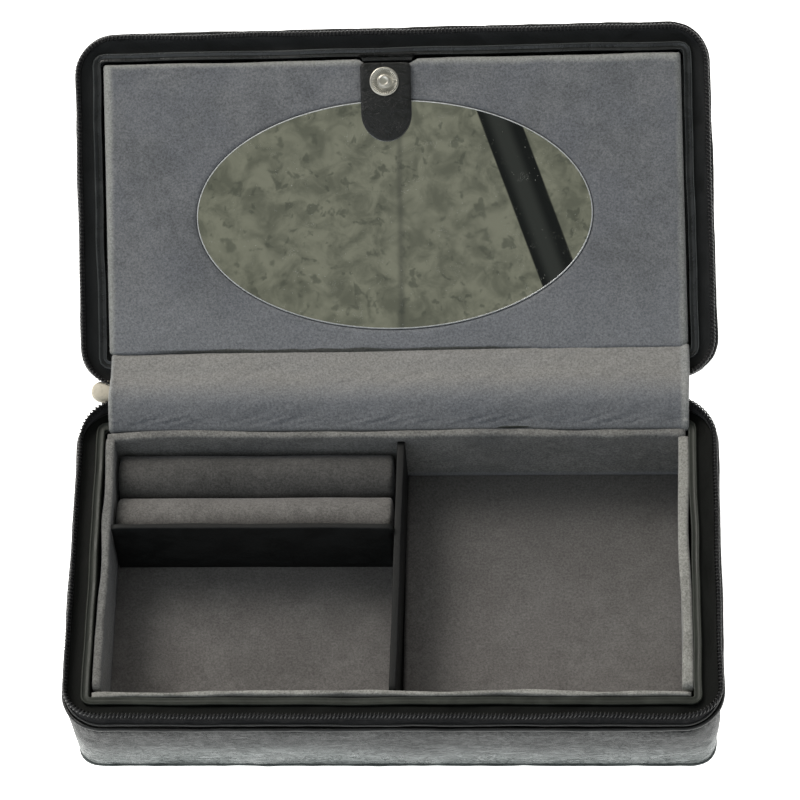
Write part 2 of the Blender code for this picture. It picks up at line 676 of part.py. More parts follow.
def build_strap(lid, axis, look):
    """The strap that snaps over the panel, tucked behind it, and its anchor in the panel's notch."""
    anchor_near = PANEL_FAR - NOTCH_DEPTH + 2 * GAP
    anchor_far = DEPTH / 2 + COLLAR_INNER_Y - GAP
    anchor = box_mesh(
        "strap_anchor", (NOTCH_X - NOTCH_HALF_X + 2 * GAP, anchor_near, STRAP_Z + 0.001),
        (NOTCH_X + NOTCH_HALF_X - 2 * GAP, anchor_far, PANEL_TOP - 0.0005))
    soften(add_piece("strap_anchor", anchor, lid, look["leather"]), 0.0003)
    half = STRAP_WIDTH / 2
    tongue = bpy.data.meshes.new("snap_strap")
    shape = bmesh.new()
    low_y = GAP - STRAP_LENGTH
    high_y = GAP
    place = Matrix.Translation((0, (low_y + high_y) / 2, 0))
    size = Matrix.Diagonal((STRAP_WIDTH, high_y - low_y, STRAP_THICKNESS, 1.0))
    bmesh.ops.create_cube(shape, size=1.0, matrix=place @ size)
    upright = [edge for edge in shape.edges if abs(edge.verts[0].co.z - edge.verts[1].co.z) > GAP]
    lower = [edge for edge in upright if edge.verts[0].co.y < (low_y + high_y) / 2]
    bmesh.ops.bevel(shape, geom=lower, offset=half - GAP, segments=10, profile=0.5, affect="EDGES")
    shape.to_mesh(tongue)
    shape.free()
    add_piece("snap_strap", tongue, axis, look["leather"])
    snap_y = STUD_Y - STRAP_ROOT_Y - 0.001
    surface = STRAP_THICKNESS / 2 + GAP
    cap_profile = [(0.0, 0.0008), (0.003, 0.0007), (0.0052, 0.0003), (0.0056, 0.0), (0.0, 0.0)]
    cap = turned_mesh("snap_cap", cap_profile, surface, 0.0, snap_y)
    smooth(add_piece("snap_cap", cap, axis, look["nickel"]))
    socket_profile = [
        (0.0, 0.0), (0.0054, 0.0), (0.0054, -0.0005), (0.0038, -0.0008), (0.0036, -0.0022),
        (0.0026, -0.0023), (0.0024, -0.0010), (0.0, -0.0010),
    ]
    socket = turned_mesh("snap_socket", socket_profile, -surface, 0.0, snap_y)
    smooth(add_piece("snap_socket", socket, axis, look["nickel"]))


clear_scene()
PARTS = new_collection("travel_jewelry_case")
CUTTERS = new_collection("cutters")
LOOK = make_materials()

BASE_CENTRE = new_empty("base_centre", (0, 0, BASE_HEIGHT))
SPINE_AXIS = new_empty("spine_axis", (0, DEPTH / 2, BASE_HEIGHT), turn_x=FOLD_ANGLE)
LID_AXIS = new_empty("lid_axis", (0, SPINE_WIDTH, 0), SPINE_AXIS, turn_x=FOLD_ANGLE)
LID_CENTRE = new_empty("lid_centre", (0, DEPTH / 2, 0), LID_AXIS, turn_z=math.pi)
PANEL_AXIS = new_empty("panel_axis", (0, PANEL_AXIS_Y, PANEL_TOP), LID_AXIS)
STRAP_AXIS = new_empty("strap_axis", (STUD_X, STRAP_ROOT_Y, STRAP_Z), LID_AXIS, turn_x=STRAP_DROOP)
PULL_AXIS = new_empty(
    "pull_axis", (SLIDER_X, SPINE_WIDTH / 2, SLIDER_BOTTOM - GAP - PULL_AXIS_DROP), SPINE_AXIS)

build_half("base", BASE_HEIGHT, LOOK["hardboard"], BASE_CENTRE, LOOK)
build_half("lid", LID_HEIGHT, LOOK["board"], LID_CENTRE, LOOK)
build_tray(BASE_CENTRE, LOOK)
build_spine(SPINE_AXIS, LOOK)
build_slider(SPINE_AXIS, LOOK)
build_pull(PULL_AXIS, LOOK)
build_pocket(LID_CENTRE, LOOK)
build_panel(PANEL_AXIS, LOOK)
build_snap(PANEL_AXIS, LOOK)
build_strap(LID_AXIS, STRAP_AXIS, LOOK)
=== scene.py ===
"""Looks of a zip-around travel jewelry case that stands open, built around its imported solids.

Everything is in metres, in the case's own frame: the front faces -Y, the spine is at +Y, +Z is up.
Three frames carry the pieces: a half's own (rim plane z = 0, spine side +Y, the half below it), the
spine's, and the lid's, whose y runs from the fold line to the free edge and whose z leaves the lining.
"""

import json
import math

import bmesh
import bpy
import numpy as np
from mathutils import Matrix, Vector


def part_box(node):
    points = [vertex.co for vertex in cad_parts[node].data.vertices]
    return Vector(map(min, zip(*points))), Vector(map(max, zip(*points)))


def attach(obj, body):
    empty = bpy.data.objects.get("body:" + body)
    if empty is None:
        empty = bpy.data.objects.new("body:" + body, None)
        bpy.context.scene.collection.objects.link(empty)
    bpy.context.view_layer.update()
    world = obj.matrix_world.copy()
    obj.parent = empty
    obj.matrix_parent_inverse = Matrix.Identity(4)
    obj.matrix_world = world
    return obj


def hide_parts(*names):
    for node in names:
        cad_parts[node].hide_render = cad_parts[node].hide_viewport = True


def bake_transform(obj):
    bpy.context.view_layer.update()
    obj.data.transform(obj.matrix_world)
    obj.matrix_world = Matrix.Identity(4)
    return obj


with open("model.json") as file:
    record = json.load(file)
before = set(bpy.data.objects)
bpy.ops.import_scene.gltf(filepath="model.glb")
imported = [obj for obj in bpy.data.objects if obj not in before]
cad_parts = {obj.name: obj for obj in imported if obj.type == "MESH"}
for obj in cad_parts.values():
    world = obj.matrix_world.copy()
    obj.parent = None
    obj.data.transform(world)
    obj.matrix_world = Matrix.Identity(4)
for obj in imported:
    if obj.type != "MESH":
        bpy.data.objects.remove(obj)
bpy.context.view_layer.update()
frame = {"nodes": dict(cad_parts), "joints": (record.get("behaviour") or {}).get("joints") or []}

# The frames, from the two fold lines.
JOINTS = {joint["name"]: joint for joint in frame["joints"]}
SPINE_AT = Vector(JOINTS["spine_fold"]["pos_m"])
LID_AT = Vector(JOINTS["lid_fold"]["pos_m"])
FOLD = math.atan2(LID_AT.z - SPINE_AT.z, LID_AT.y - SPINE_AT.y)
SPINE_WIDTH = (LID_AT - SPINE_AT).length
HALF_Y = SPINE_AT.y
BASE = Matrix.Translation((0, 0, SPINE_AT.z))
SPINE = Matrix.Translation(SPINE_AT) @ Matrix.Rotation(FOLD, 4, "X")
LID = Matrix.Translation(LID_AT) @ Matrix.Rotation(2 * FOLD, 4, "X")
LID_HALF = LID @ Matrix.Translation((0, HALF_Y, 0)) @ Matrix.Rotation(math.pi, 4, "Z")


def rack(frame_matrix, over_x, over_y, still_y):
    """A map that pulls a frame a little out of square: y grows by over_x per x, x by over_y per y."""
    shear = Matrix(((1, over_y, 0, -over_y * still_y), (over_x, 1, 0, 0), (0, 0, 1, 0), (0, 0, 0, 1)))
    return frame_matrix @ shear @ frame_matrix.inverted()


BASE_RACK = rack(BASE, -0.0085, 0.0, 0.0)
LID_RACK = rack(LID, 0.006, -0.014, 0.05)
TRAY = BASE @ Matrix.Translation((-0.0004, 0.0010, 0))


def local_box(node, place):
    """The lowest and highest corners of a CAD node in one of the frames."""
    inverse = place.inverted()
    points = np.array([inverse @ vert.co for vert in frame["nodes"][node].data.vertices])
    return Vector(points.min(0)), Vector(points.max(0))


# Sizes of the halves.
HALF_X = local_box("base_rim_piping", BASE)[1].x - 0.0003
BASE_HEIGHT = SPINE_AT.z
LID_HEIGHT = -local_box("lid_outer_leather", LID_HALF)[0].z
CORNER = 0.016
CORNER_BULGE = 0.0020
DRAFT = HALF_Y - local_box("base_outer_leather", BASE)[1].y
COLLAR_X, COLLAR_Y = local_box("base_collar", BASE)[1][:2]
COLLAR_TOP = local_box("base_collar", BASE)[1].z
COLLAR_CORNER = 0.0032
COIL_INSET = 0.0012
COIL_Z = local_box("base_zip_coil", BASE)[1].z - 0.0014
COIL_PITCH = 0.0015
STITCH_PITCH = 0.0031
ZIP_TURN = math.radians(84)
PIPING_TURN = math.radians(84)

# Details of single pieces.
GLASS_GAP = 0.0003
FLUTES = 40
STRAP_DROOP = math.radians(22)
CLOTH_FRAMES = 20


# ---------------------------------------------------------------- geometry

def link(name, mesh, material, smooth=True):
    """Put a mesh in the scene as one piece."""
    piece = bpy.data.objects.new(name, mesh)
    bpy.context.scene.collection.objects.link(piece)
    mesh.materials.append(material)
    if smooth:
        mesh.shade_smooth()
    return piece


def skin(name, rings, place=None, caps=False, close=False):
    """A mesh over closed rings of points. close joins the last ring to the first, caps fill the end rings."""
    rings = np.asarray(rings, float)
    count, size = rings.shape[:2]
    points = rings.reshape(-1, 3)
    columns = np.arange(size)
    faces = []
    for row in range(count if close else count - 1):
        here = row * size
        after = ((row + 1) % count) * size
        right = (columns + 1) % size
        quads = np.stack([here + columns, here + right, after + right, after + columns], 1)
        faces.extend(quads.tolist())
    if caps:
        faces += [list(range(size))[::-1], list(range((count - 1) * size, count * size))]
    mesh = bpy.data.meshes.new(name)
    mesh.from_pydata(points.tolist(), [], faces)
    if place is not None:
        mesh.transform(place)
    shape = bmesh.new()
    shape.from_mesh(mesh)
    bmesh.ops.remove_doubles(shape, verts=shape.verts, dist=1e-7)
    bmesh.ops.recalc_face_normals(shape, faces=shape.faces)
    shape.to_mesh(mesh)
    shape.free()
    mesh.update()
    return mesh


def put(name, rings, place, material, smooth=True, **shape):
    """A skin over rings, in the scene as one piece."""
    return link(name, skin(name, rings, place, **shape), material, smooth)


def unit(rows):
    """Each row made one long."""
    return rows / np.linalg.norm(rows, axis=1)[:, None]


def raised(flat, height):
    """Points in a plane, lifted to a height."""
    return np.hstack([flat, np.full((len(flat), 1), height) if np.isscalar(height) else height[:, None]])


def pushed(outs, distance):
    """The move of every point of every ring along its ring's outward direction."""
    return outs[:, None, :] * distance[..., None]


def line_points(start, end, step):
    """Points from start to end, without the two ends."""
    length = math.dist(start, end)
    count = max(2, round(length / step))
    shares = np.arange(1, count)[:, None] / count
    return np.array(start) + shares * (np.array(end) - np.array(start))


def rim_path(half_x, half_y, radius, step, turn=None):
    """Points and outward directions round the rim, from the spine side by way of -X and the front.

    With turn, the path is open: it covers the free sides and that much of each spine corner."""
    centre_x = half_x - radius
    centre_y = half_y - radius
    quarter = math.pi / 2
    first = quarter if turn is None else turn
    corners = [(-1, 1, math.pi - first, math.pi), (-1, -1, math.pi, 3 * quarter),
               (1, -1, 3 * quarter, 4 * quarter), (1, 1, 0.0, first)]
    points = []
    outs = []
    last = None
    for side_x, side_y, low, high in corners:
        count = max(3, round((high - low) * radius / step))
        angles = np.linspace(low, high, count + 1)
        out = np.stack([np.cos(angles), np.sin(angles)], 1)
        arc = np.array([side_x * centre_x, side_y * centre_y]) + radius * out
        if last is not None:
            run = line_points(last, arc[0], step)
            points.append(run)
            outs.append(np.repeat(out[:1], len(run), 0))
        points.append(arc)
        outs.append(out)
        last = arc[-1]
    if turn is None:
        run = line_points(last, points[0][0], step)
        points.append(run)
        outs.append(np.repeat(outs[0][:1], len(run), 0))
    points = np.concatenate(points)
    outs = np.concatenate(outs)
    flat = np.zeros((len(points), 1))
    return np.hstack([points, flat]), np.hstack([outs, flat])


def path_lengths(points):
    """How far along its path each point is."""
    steps = np.linalg.norm(np.diff(points, axis=0), axis=1)
    return np.concatenate([[0.0], np.cumsum(steps)])


def along_path(at, lengths, values):
    """A path's points or directions, read at other lengths along it."""
    return np.stack([np.interp(at, lengths, values[:, axis]) for axis in range(values.shape[1])], 1)


def sweep(points, outs, section):
    """Rings of a section of (outward, up) points, carried along a path."""
    section = np.asarray(section, float)
    rings = points[:, None, :] + outs[:, None, :] * section[:, :1]
    rings[..., 2] += section[:, 1]
    return rings


def tube_rings(points, radius, sides, lead=None):
    """Rings of a round cord along points. lead is a direction that is never along the cord."""
    points = np.asarray(points, float)
    along = unit(np.gradient(points, axis=0))
    lead = np.broadcast_to(np.array([0, 0, 1.0]) if lead is None else lead, along.shape)
    side = unit(np.cross(along, lead))
    up = np.cross(side, along)
    angles = np.arange(sides) * 2 * math.pi / sides
    turn = np.cos(angles)[None, :, None] * side[:, None, :] + np.sin(angles)[None, :, None] * up[:, None, :]
    return points[:, None, :] + np.reshape(radius, (-1, 1, 1)) * turn


def wander(points, seed, size):
    """A smooth wander between about -1 and 1 over points in space, of that size, the same each run."""
    draw = np.random.default_rng(seed)
    count = 7
    total = np.zeros(np.shape(points)[:-1])
    for _ in range(count):
        direction = draw.normal(size=3)
        direction /= np.linalg.norm(direction)
        wave = 2 * math.pi / (size * draw.uniform(0.6, 1.7))
        total += np.sin(points @ (direction * wave) + draw.uniform(0, 2 * math.pi))
    return total / math.sqrt(count / 2) * 0.7


def arc_section(centre, radius, low, high, count):
    """Points on an arc in a section, with angles in degrees."""
    angles = np.radians(np.linspace(low, high, count))
    return [(centre[0] + radius * math.cos(a), centre[1] + radius * math.sin(a)) for a in angles]


def inset_outline(outline, distance):
    """An anticlockwise outline moved inwards by a distance."""
    ahead = unit(np.roll(outline, -1, axis=0) - np.roll(outline, 1, axis=0))
    inward = np.stack([-ahead[:, 1], ahead[:, 0]], 1)
    return outline + inward * distance


def inset_rings(outline, steps):
    """Rings that follow an outline, from (distance inwards, height) steps."""
    return [raised(inset_outline(outline, distance), height) for distance, height in steps]


def slab_rings(outline, low, high, edge, crown=0.0):
    """Rings of a slab with a round edge on both faces, and a slightly crowned upper face."""
    rings = []
    turns = np.linspace(0, math.pi / 2, 4)
    for angle in turns[::-1]:
        rings.append((edge * (1 - math.cos(angle)), low + edge * (1 - math.sin(angle))))
    for angle in turns:
        rings.append((edge * (1 - math.cos(angle)), high - edge * (1 - math.sin(angle))))
    rings = [(edge, low)] + rings[1:]
    for share in (2.0, 4.0):
        rings.append((edge * share, high + crown * share / 4))
    return inset_rings(outline, rings)


def tongue_outline(half, near, far, corner, drop=1.0):
    """An outline with two small corners at its far end and one long round at its near end."""
    round_y = near + half * drop
    angles = np.linspace(math.pi, 2 * math.pi, 25)
    low = np.stack([half * np.cos(angles), round_y + half * drop * np.sin(angles)], 1)
    rise = line_points((half, round_y), (half, far - corner), 0.002)
    first = np.linspace(0, math.pi / 2, 6)
    right = np.stack([half - corner + corner * np.cos(first), far - corner + corner * np.sin(first)], 1)
    left = np.stack([corner - half - corner * np.cos(first), far - corner + corner * np.sin(first)], 1)[::-1]
    top = line_points(right[-1], left[0], 0.002)
    fall = line_points((-half, far - corner), (-half, round_y), 0.002)
    return np.concatenate([low, rise, right, top, left, fall])


def turned_rings(profile, centre, steps):
    """Rings of a turned piece, from (radius, height) points."""
    angles = np.arange(steps) * 2 * math.pi / steps
    circle = np.stack([np.cos(angles), np.sin(angles), 0 * angles], 1)
    return [np.array(centre) + circle * radius + np.array([0, 0, height]) for radius, height in profile]


# ---------------------------------------------------------------- materials

class Look:
    """A procedural material, with short ways to add its nodes."""

    def __init__(self, name):
        self.material = bpy.data.materials.new(name)
        self.material.use_nodes = True
        self.tree = self.material.node_tree
        self.shader = self.tree.nodes["Principled BSDF"]
        self.place = self.tree.nodes.new("ShaderNodeTexCoord").outputs["Object"]

    def join(self, source, target):
        """Link a socket, or set a plain value."""
        if isinstance(source, bpy.types.NodeSocket):
            self.tree.links.new(source, target)
        else:
            target.default_value = source

    def add(self, kind, **sockets):
        """A node with its sockets set or linked; an underscore stands for a space."""
        node = self.tree.nodes.new("ShaderNode" + kind)
        self.fill(node, sockets)
        return node

    def fill(self, node, sockets):
        """Set or link a node's sockets. A colour may be given without its fourth number."""
        for name, value in sockets.items():
            socket = node.inputs[name.replace("_", " ")]
            if socket.type == "RGBA" and isinstance(value, tuple) and len(value) == 3:
                value = (*value, 1.0)
            self.join(value, socket)

    def stretched(self, scale):
        """The place in the row frame, scaled along each axis."""
        return self.add("Mapping", Scale=scale, Vector=self.place).outputs["Vector"]

    def noise(self, size, detail=3.0, rough=0.5, twist=0.0, place=None):
        """Noise whose features are about that size in metres."""
        return self.add(
            "TexNoise", Scale=1.0 / size, Detail=detail, Roughness=rough, Distortion=twist,
            Vector=self.place if place is None else place).outputs["Fac"]

    def cells(self, size, feature="F1"):
        """Distance to the nearest of some scattered points."""
        node = self.add("TexVoronoi", Scale=1.0 / size, Vector=self.place)
        node.feature = feature
        return node.outputs["Distance"]

    def waves(self, size, direction, twist=0.0):
        """Parallel bands of that spacing."""
        node = self.add("TexWave", Scale=math.pi / (10 * size), Distortion=twist, Vector=self.place)
        node.bands_direction = direction
        return node.outputs["Fac"]

    def math(self, operation, first, second=0.0, clamp=False):
        """One arithmetic step."""
        node = self.tree.nodes.new("ShaderNodeMath")
        node.operation = operation
        node.use_clamp = clamp
        self.join(first, node.inputs[0])
        self.join(second, node.inputs[1])
        return node.outputs[0]

    def times(self, first, second, clamp=False):
        """A product."""
        return self.math("MULTIPLY", first, second, clamp)

    def plus(self, first, second):
        """A sum."""
        return self.math("ADD", first, second)

    def less(self, first, second):
        """A difference."""
        return self.math("SUBTRACT", first, second)

    def size(self, value):
        """A value without its sign."""
        return self.math("ABSOLUTE", value)

    def spread(self, value, low, high, to_low=0.0, to_high=1.0):
        """A value's range moved to another range, smoothly."""
        node = self.add(
            "MapRange", Value=value, From_Min=low, From_Max=high, To_Min=to_low, To_Max=to_high)
        node.interpolation_type = "SMOOTHSTEP"
        return node.outputs["Result"]

    def blend(self, share, first, second, mode="MIX"):
        """Two colours mixed by a share."""
        node = self.tree.nodes.new("ShaderNodeMix")
        node.data_type = "RGBA"
        node.blend_type = mode
        self.fill(node, {"Factor": share, "A": first, "B": second})
        return node.outputs["Result"]

    def bump(self, height, distance, strength, under=None):
        """A bump of that height, on top of another one."""
        node = self.add("Bump", Strength=strength, Distance=distance, Height=height)
        if under is not None:
            self.join(under, node.inputs["Normal"])
        return node.outputs["Normal"]

    def set(self, **values):
        """Set the shader's sockets."""
        self.fill(self.shader, values)
        return self.material


def axes_of(look, place=None):
    """The X, Y and Z of a place, in the row frame or in another one."""
    vector = look.place
    if place is not None:
        back = place.inverted()
        node = look.add("Mapping", Rotation=back.to_euler(), Location=back.translation, Vector=vector)
        vector = node.outputs["Vector"]
    axes = look.add("SeparateXYZ", Vector=vector)
    return axes.outputs["X"], axes.outputs["Y"], axes.outputs["Z"]


def suede(name, dark, light, tint, fleck=0.55, shade=None):
    """Brushed synthetic suede: soft patches of nap, a fine fleck, short fibres.

    shade takes the look and the ground colour, and returns the ground with painted light and shade laid on
    it."""
    look = Look(name)
    patches = look.noise(0.034, 3.0, 0.6, 0.6)
    nap = look.noise(0.0065, 4.0, 0.62, 0.8)
    grain = look.noise(0.00085, 3.0, 0.7)
    dust = look.noise(0.00045, 2.0, 0.8)
    both = look.plus(look.times(patches, 0.5), look.times(nap, 0.5))
    share = look.spread(both, 0.36, 0.64)
    ground = look.blend(share, dark, light)
    hue = look.spread(look.noise(0.021, 2.0, 0.5), 0.42, 0.66)
    ground = look.blend(look.times(hue, 0.45), ground, tint)
    if shade is not None:
        ground = shade(look, ground)
    specks = look.spread(look.plus(look.times(grain, 0.6),
                                   look.times(dust, 0.4)), 0.33, 0.67)
    grey = look.blend(specks, (0.16, 0.16, 0.16), (0.84, 0.84, 0.84))
    ground = look.blend(fleck, ground, grey, "SOFT_LIGHT")
    normal = look.bump(nap, 0.0006, 0.35)
    normal = look.bump(grain, 0.00028, 0.55, normal)
    normal = look.bump(dust, 0.00014, 0.5, normal)
    return look.set(
        Base_Color=ground, Roughness=0.96, Specular_IOR_Level=0.18,
        Sheen_Weight=0.22, Sheen_Roughness=0.42, Sheen_Tint=(0.9, 0.93, 1.0), Normal=normal)


def panel_painted_light(look, ground):
    """Painted light on the panel's suede: a paler, warmer painted highlight where the edge rolls over,
    painted light cooler low down, and a painted shadow along the lower hem.
    """
    low, high = local_box("mirror_panel", LID)
    across, along, _ = axes_of(look, LID)
    sway = look.times(look.noise(0.016, 3.0, 0.55), 0.0022)
    side = look.less(high.x, look.size(across))
    edge = look.plus(look.math("MINIMUM", side, look.less(high.y, along)), sway)
    # Painted light: paler and cooler towards the lower edge.
    painted_low_light = look.times(look.spread(along, low.y + 0.036, low.y + 0.006), 0.6)
    ground = look.blend(painted_low_light, ground, (0.208, 0.218, 0.232))
    # Painted highlight: paler and warmer where the edge rolls over.
    rolled = look.times(look.spread(edge, 0.0048, 0.0020), 0.9)
    ground = look.blend(rolled, ground, (0.300, 0.306, 0.290))
    # Painted shadow under the rolled lower hem.
    under = look.spread(look.less(along, look.times(sway, 0.9)), low.y, low.y - 0.0007)
    turned = look.times(look.spread(across, -0.100, -0.080), look.spread(across, 0.060, 0.035))
    return look.blend(look.times(under, turned), ground, (0.080, 0.081, 0.074))


def crest_painted_light(look, ground):
    """Painted light on the spine's suede: pale above the crest, cool and darker below it as painted shade,
    with paler hems as painted highlights.
    """
    end_x = local_box("spine_lining", SPINE)[1].x
    across, along, _ = axes_of(look)
    sway = look.times(look.noise(0.02, 3.0, 0.55), 0.005)
    height = look.plus(along, sway)
    # Painted light above the crest, painted shade below it.
    lit_above_crest = look.spread(height, SPINE_AT.y - 0.0010, SPINE_AT.y + 0.0115)
    hem = look.spread(height, SPINE_AT.y - 0.006, SPINE_AT.y - 0.009)
    shaded_below_crest = look.blend(hem, (0.182, 0.191, 0.203), (0.214, 0.222, 0.230))
    ground = look.blend(0.8, ground, look.blend(lit_above_crest, shaded_below_crest, (0.272, 0.268, 0.254)))
    # Painted highlight: paler where the hems roll over at both ends.
    end = look.plus(look.size(across), look.times(sway, 0.3))
    return look.blend(look.spread(end, end_x - 0.0026, end_x - 0.0012), ground, (0.285, 0.290, 0.282))


def floor_painted_shade(look, ground):
    """Painted shade: the floor's suede darker towards the back."""
    along = axes_of(look)[1]
    back = look.times(look.spread(along, -0.062, 0.055), 0.75)
    return look.blend(back, ground, (0.098, 0.094, 0.090))


def skin_painted_reflection(look):
    """A painted reflection of the pale floor: leather paler and smoother low on a half's side, from its rim
    down.
    """
    sway = look.times(look.noise(0.030, 3.0, 0.5, 0.0, look.stretched((0.5, 1.0, 1.0))), 0.022)
    return look.spread(look.plus(axes_of(look)[2], sway), 0.037, 0.017)


# The colour of the painted reflection of the floor, low on the leather.
PAINTED_FLOOR_REFLECTION = (0.128, 0.146, 0.141)


def leather(name, colour, rough, grain_size, creases, gloss, wear, shade=None):
    """Coated leather: fine pebbles, short creases with painted shade in them, and slightly paler high spots.
    shade, when given, lays on a painted reflection of the floor.
    """
    look = Look(name)
    pebbles = look.cells(grain_size, "SMOOTH_F1")
    warp = look.noise(grain_size * 2.3, 4.0, 0.6, 1.4, look.stretched((0.55, 0.8, 1.5)))
    fold = look.noise(0.0042, 5.0, 0.62, 2.2, look.stretched((0.4, 0.55, 1.5)))
    crease_with_shade = look.spread(look.size(look.less(fold, 0.5)), 0.0, 0.055)
    patch = look.noise(0.018, 3.0, 0.55)
    paler = look.times(look.spread(patch, 0.45, 0.75), 0.6)
    ground = look.blend(paler, colour, tuple(part + wear * 0.35 for part in colour))
    # Painted shade: darker in the creases.
    ground = look.blend(look.less(1.0, crease_with_shade), ground, tuple(part * 0.4 for part in colour))
    shine = look.spread(look.noise(0.0035, 3.0, 0.6), 0.3, 0.7, rough - 0.07, rough + 0.09)
    # Painted reflection of the floor: paler and smoother low down.
    if shade is not None:
        painted_reflection_share = shade(look)
        ground = look.blend(painted_reflection_share, ground, PAINTED_FLOOR_REFLECTION)
        shine = look.plus(shine, look.times(look.less(1.0, painted_reflection_share), 0.2))
    normal = look.bump(patch, 0.0012, 0.35)
    normal = look.bump(warp, 0.00035, creases, normal)
    normal = look.bump(crease_with_shade, 0.0002, creases, normal)
    normal = look.bump(pebbles, 0.00012, 0.45, normal)
    return look.set(
        Base_Color=ground, Roughness=shine, Specular_IOR_Level=0.44, Coat_Weight=gloss,
        Coat_Roughness=0.24, Normal=normal)


def matte_lining(name, colour, rough, shine):
    """Thin black lining cloth with a leather print."""
    look = Look(name)
    print_cells = look.cells(0.00075, "SMOOTH_F1")
    soft = look.noise(0.009, 4.0, 0.6, 0.5)
    ground = look.blend(look.spread(soft, 0.35, 0.7), colour, tuple(1.5 * part + 0.003 for part in colour))
    normal = look.bump(soft, 0.0008, 0.3)
    normal = look.bump(print_cells, 0.00012, 0.4, normal)
    return look.set(
        Base_Color=ground, Roughness=look.spread(soft, 0.3, 0.7, rough - 0.06, rough + 0.1),
        Specular_IOR_Level=shine, Normal=normal)


def woven_tape(name):
    """Herringbone zip tape."""
    look = Look(name)
    warp = look.waves(0.00042, "X", 0.6)
    weft = look.waves(0.00042, "Y", 0.6)
    rise = look.waves(0.00042, "Z", 0.6)
    weave = look.math("MAXIMUM", look.math("MAXIMUM", warp, weft), rise)
    ground = look.blend(weave, (0.004, 0.004, 0.004), (0.019, 0.019, 0.02))
    ground = look.blend(look.spread(look.noise(0.0028, 4.0), 0.45, 0.8), ground, (0.03, 0.029, 0.029))
    return look.set(
        Base_Color=ground, Roughness=0.86, Specular_IOR_Level=0.25, Sheen_Weight=0.08,
        Normal=look.bump(weave, 0.00016, 0.7))


def nylon(name):
    """The coil's black nylon, with a little grey rub."""
    look = Look(name)
    rub = look.spread(look.noise(0.0016, 3.0, 0.6), 0.42, 0.74)
    ground = look.blend(rub, (0.007, 0.007, 0.007), (0.030, 0.029, 0.028))
    return look.set(
        Base_Color=ground, Roughness=look.spread(rub, 0.0, 1.0, 0.30, 0.46), Specular_IOR_Level=0.45,
        Normal=look.bump(look.noise(0.0006), 0.00005, 0.5))


def board(name, dark, light):
    """Pressed board."""
    look = Look(name)
    fibres = look.noise(0.0009, 5.0, 0.7, 0.6, look.stretched((0.5, 1.0, 1.0)))
    return look.set(
        Base_Color=look.blend(look.spread(fibres, 0.3, 0.7), dark, light), Roughness=0.9,
        Specular_IOR_Level=0.2, Normal=look.bump(fibres, 0.0002, 0.5))


def metal(name, colour, rough):
    """Plated metal with fine wear."""
    look = Look(name)
    haze = look.noise(0.0012, 4.0, 0.65)
    lines = look.noise(0.00035, 2.0, 0.6, 0.0, look.stretched((1.0, 0.15, 1.0)))
    ground = look.blend(look.spread(haze, 0.5, 0.8), colour, tuple(part * 0.72 for part in colour))
    normal = look.bump(lines, 0.00003, 0.25)
    return look.set(
        Base_Color=ground, Metallic=1.0, Roughness=look.spread(haze, 0.3, 0.7, rough - 0.06, rough + 0.12),
        Normal=look.bump(haze, 0.00005, 0.3, normal))


def fluted_metal(name, colour):
    """The stud's plated metal: fine flutes with painted shade in their grooves, in a ring round its nub."""
    look = Look(name)
    low, high = local_box("snap_stud", LID)
    across, along, _ = axes_of(look, LID)
    out = look.less(across, (low.x + high.x) / 2)
    up = look.less(along, (low.y + high.y) / 2)
    radius = look.math("SQRT", look.plus(look.times(out, out), look.times(up, up)), 0.0)
    turn = look.math("ARCTAN2", up, out)
    groove = look.spread(look.math("SINE", look.times(turn, float(FLUTES)), 0.0), 0.5, -0.5)
    wide = (high.x - low.x) / 2
    ring = look.times(
        look.spread(radius, 0.46 * wide, 0.54 * wide), look.spread(radius, 0.86 * wide, 0.80 * wide))
    haze = look.noise(0.0012, 4.0, 0.65)
    ground = look.blend(look.spread(haze, 0.5, 0.8), colour, tuple(part * 0.85 for part in colour))
    # Painted shade: darker in the flutes' grooves.
    groove_shade = look.times(look.times(groove, ring), 0.8)
    ground = look.blend(groove_shade, ground, tuple(part * 0.38 for part in colour))
    return look.set(Base_Color=ground, Metallic=0.9, Roughness=look.spread(haze, 0.3, 0.7, 0.28, 0.38))


def painted(name, colour):
    """Pale satin paint on metal, slightly chipped and grimy in its low places."""
    look = Look(name)
    grime = look.spread(look.noise(0.0019, 4.0, 0.65), 0.52, 0.78)
    ground = look.blend(grime, colour, tuple(part * 0.62 for part in colour))
    return look.set(
        Base_Color=ground, Roughness=look.spread(grime, 0.0, 1.0, 0.46, 0.66), Specular_IOR_Level=0.4,
        Normal=look.bump(look.noise(0.0011, 3.0), 0.00008, 0.5))


def mirror_face(name):
    """Silvered glass with a little dust lying on it."""
    look = Look(name)
    dust = look.cells(0.0031)
    finer = look.cells(0.0017)
    where = look.spread(look.noise(0.011, 3.0, 0.6), 0.38, 0.62)
    lint = look.noise(0.0009, 2.0, 0.5, 2.0)
    specks = look.math("MAXIMUM", look.spread(dust, 0.055, 0.02), look.spread(finer, 0.07, 0.03))
    threads = look.spread(look.size(look.less(lint, 0.5)), 0.004, 0.0)
    threads = look.times(threads, look.spread(look.noise(0.0052, 2.0), 0.6, 0.68))
    specks = look.times(look.math("MAXIMUM", specks, threads), where, True)
    haze = look.spread(look.noise(0.03, 3.0, 0.6), 0.3, 0.8, 0.0, 0.012)
    ground = look.blend(specks, (0.86, 0.875, 0.85), (0.50, 0.50, 0.46))
    return look.set(
        Base_Color=ground, Metallic=look.less(1.0, look.times(specks, 0.5)),
        Roughness=look.plus(haze, look.times(specks, 0.6)))


def ground_glass(name):
    """The mirror's ground edge, bright and a little grey."""
    look = Look(name)
    chips = look.noise(0.0007, 3.0, 0.6)
    ground = look.blend(look.spread(chips, 0.4, 0.7), (0.72, 0.74, 0.74), (0.5, 0.52, 0.52))
    return look.set(
        Base_Color=ground, Roughness=0.32, Metallic=0.35, Specular_IOR_Level=0.8,
        Normal=look.bump(chips, 0.00004, 0.5))


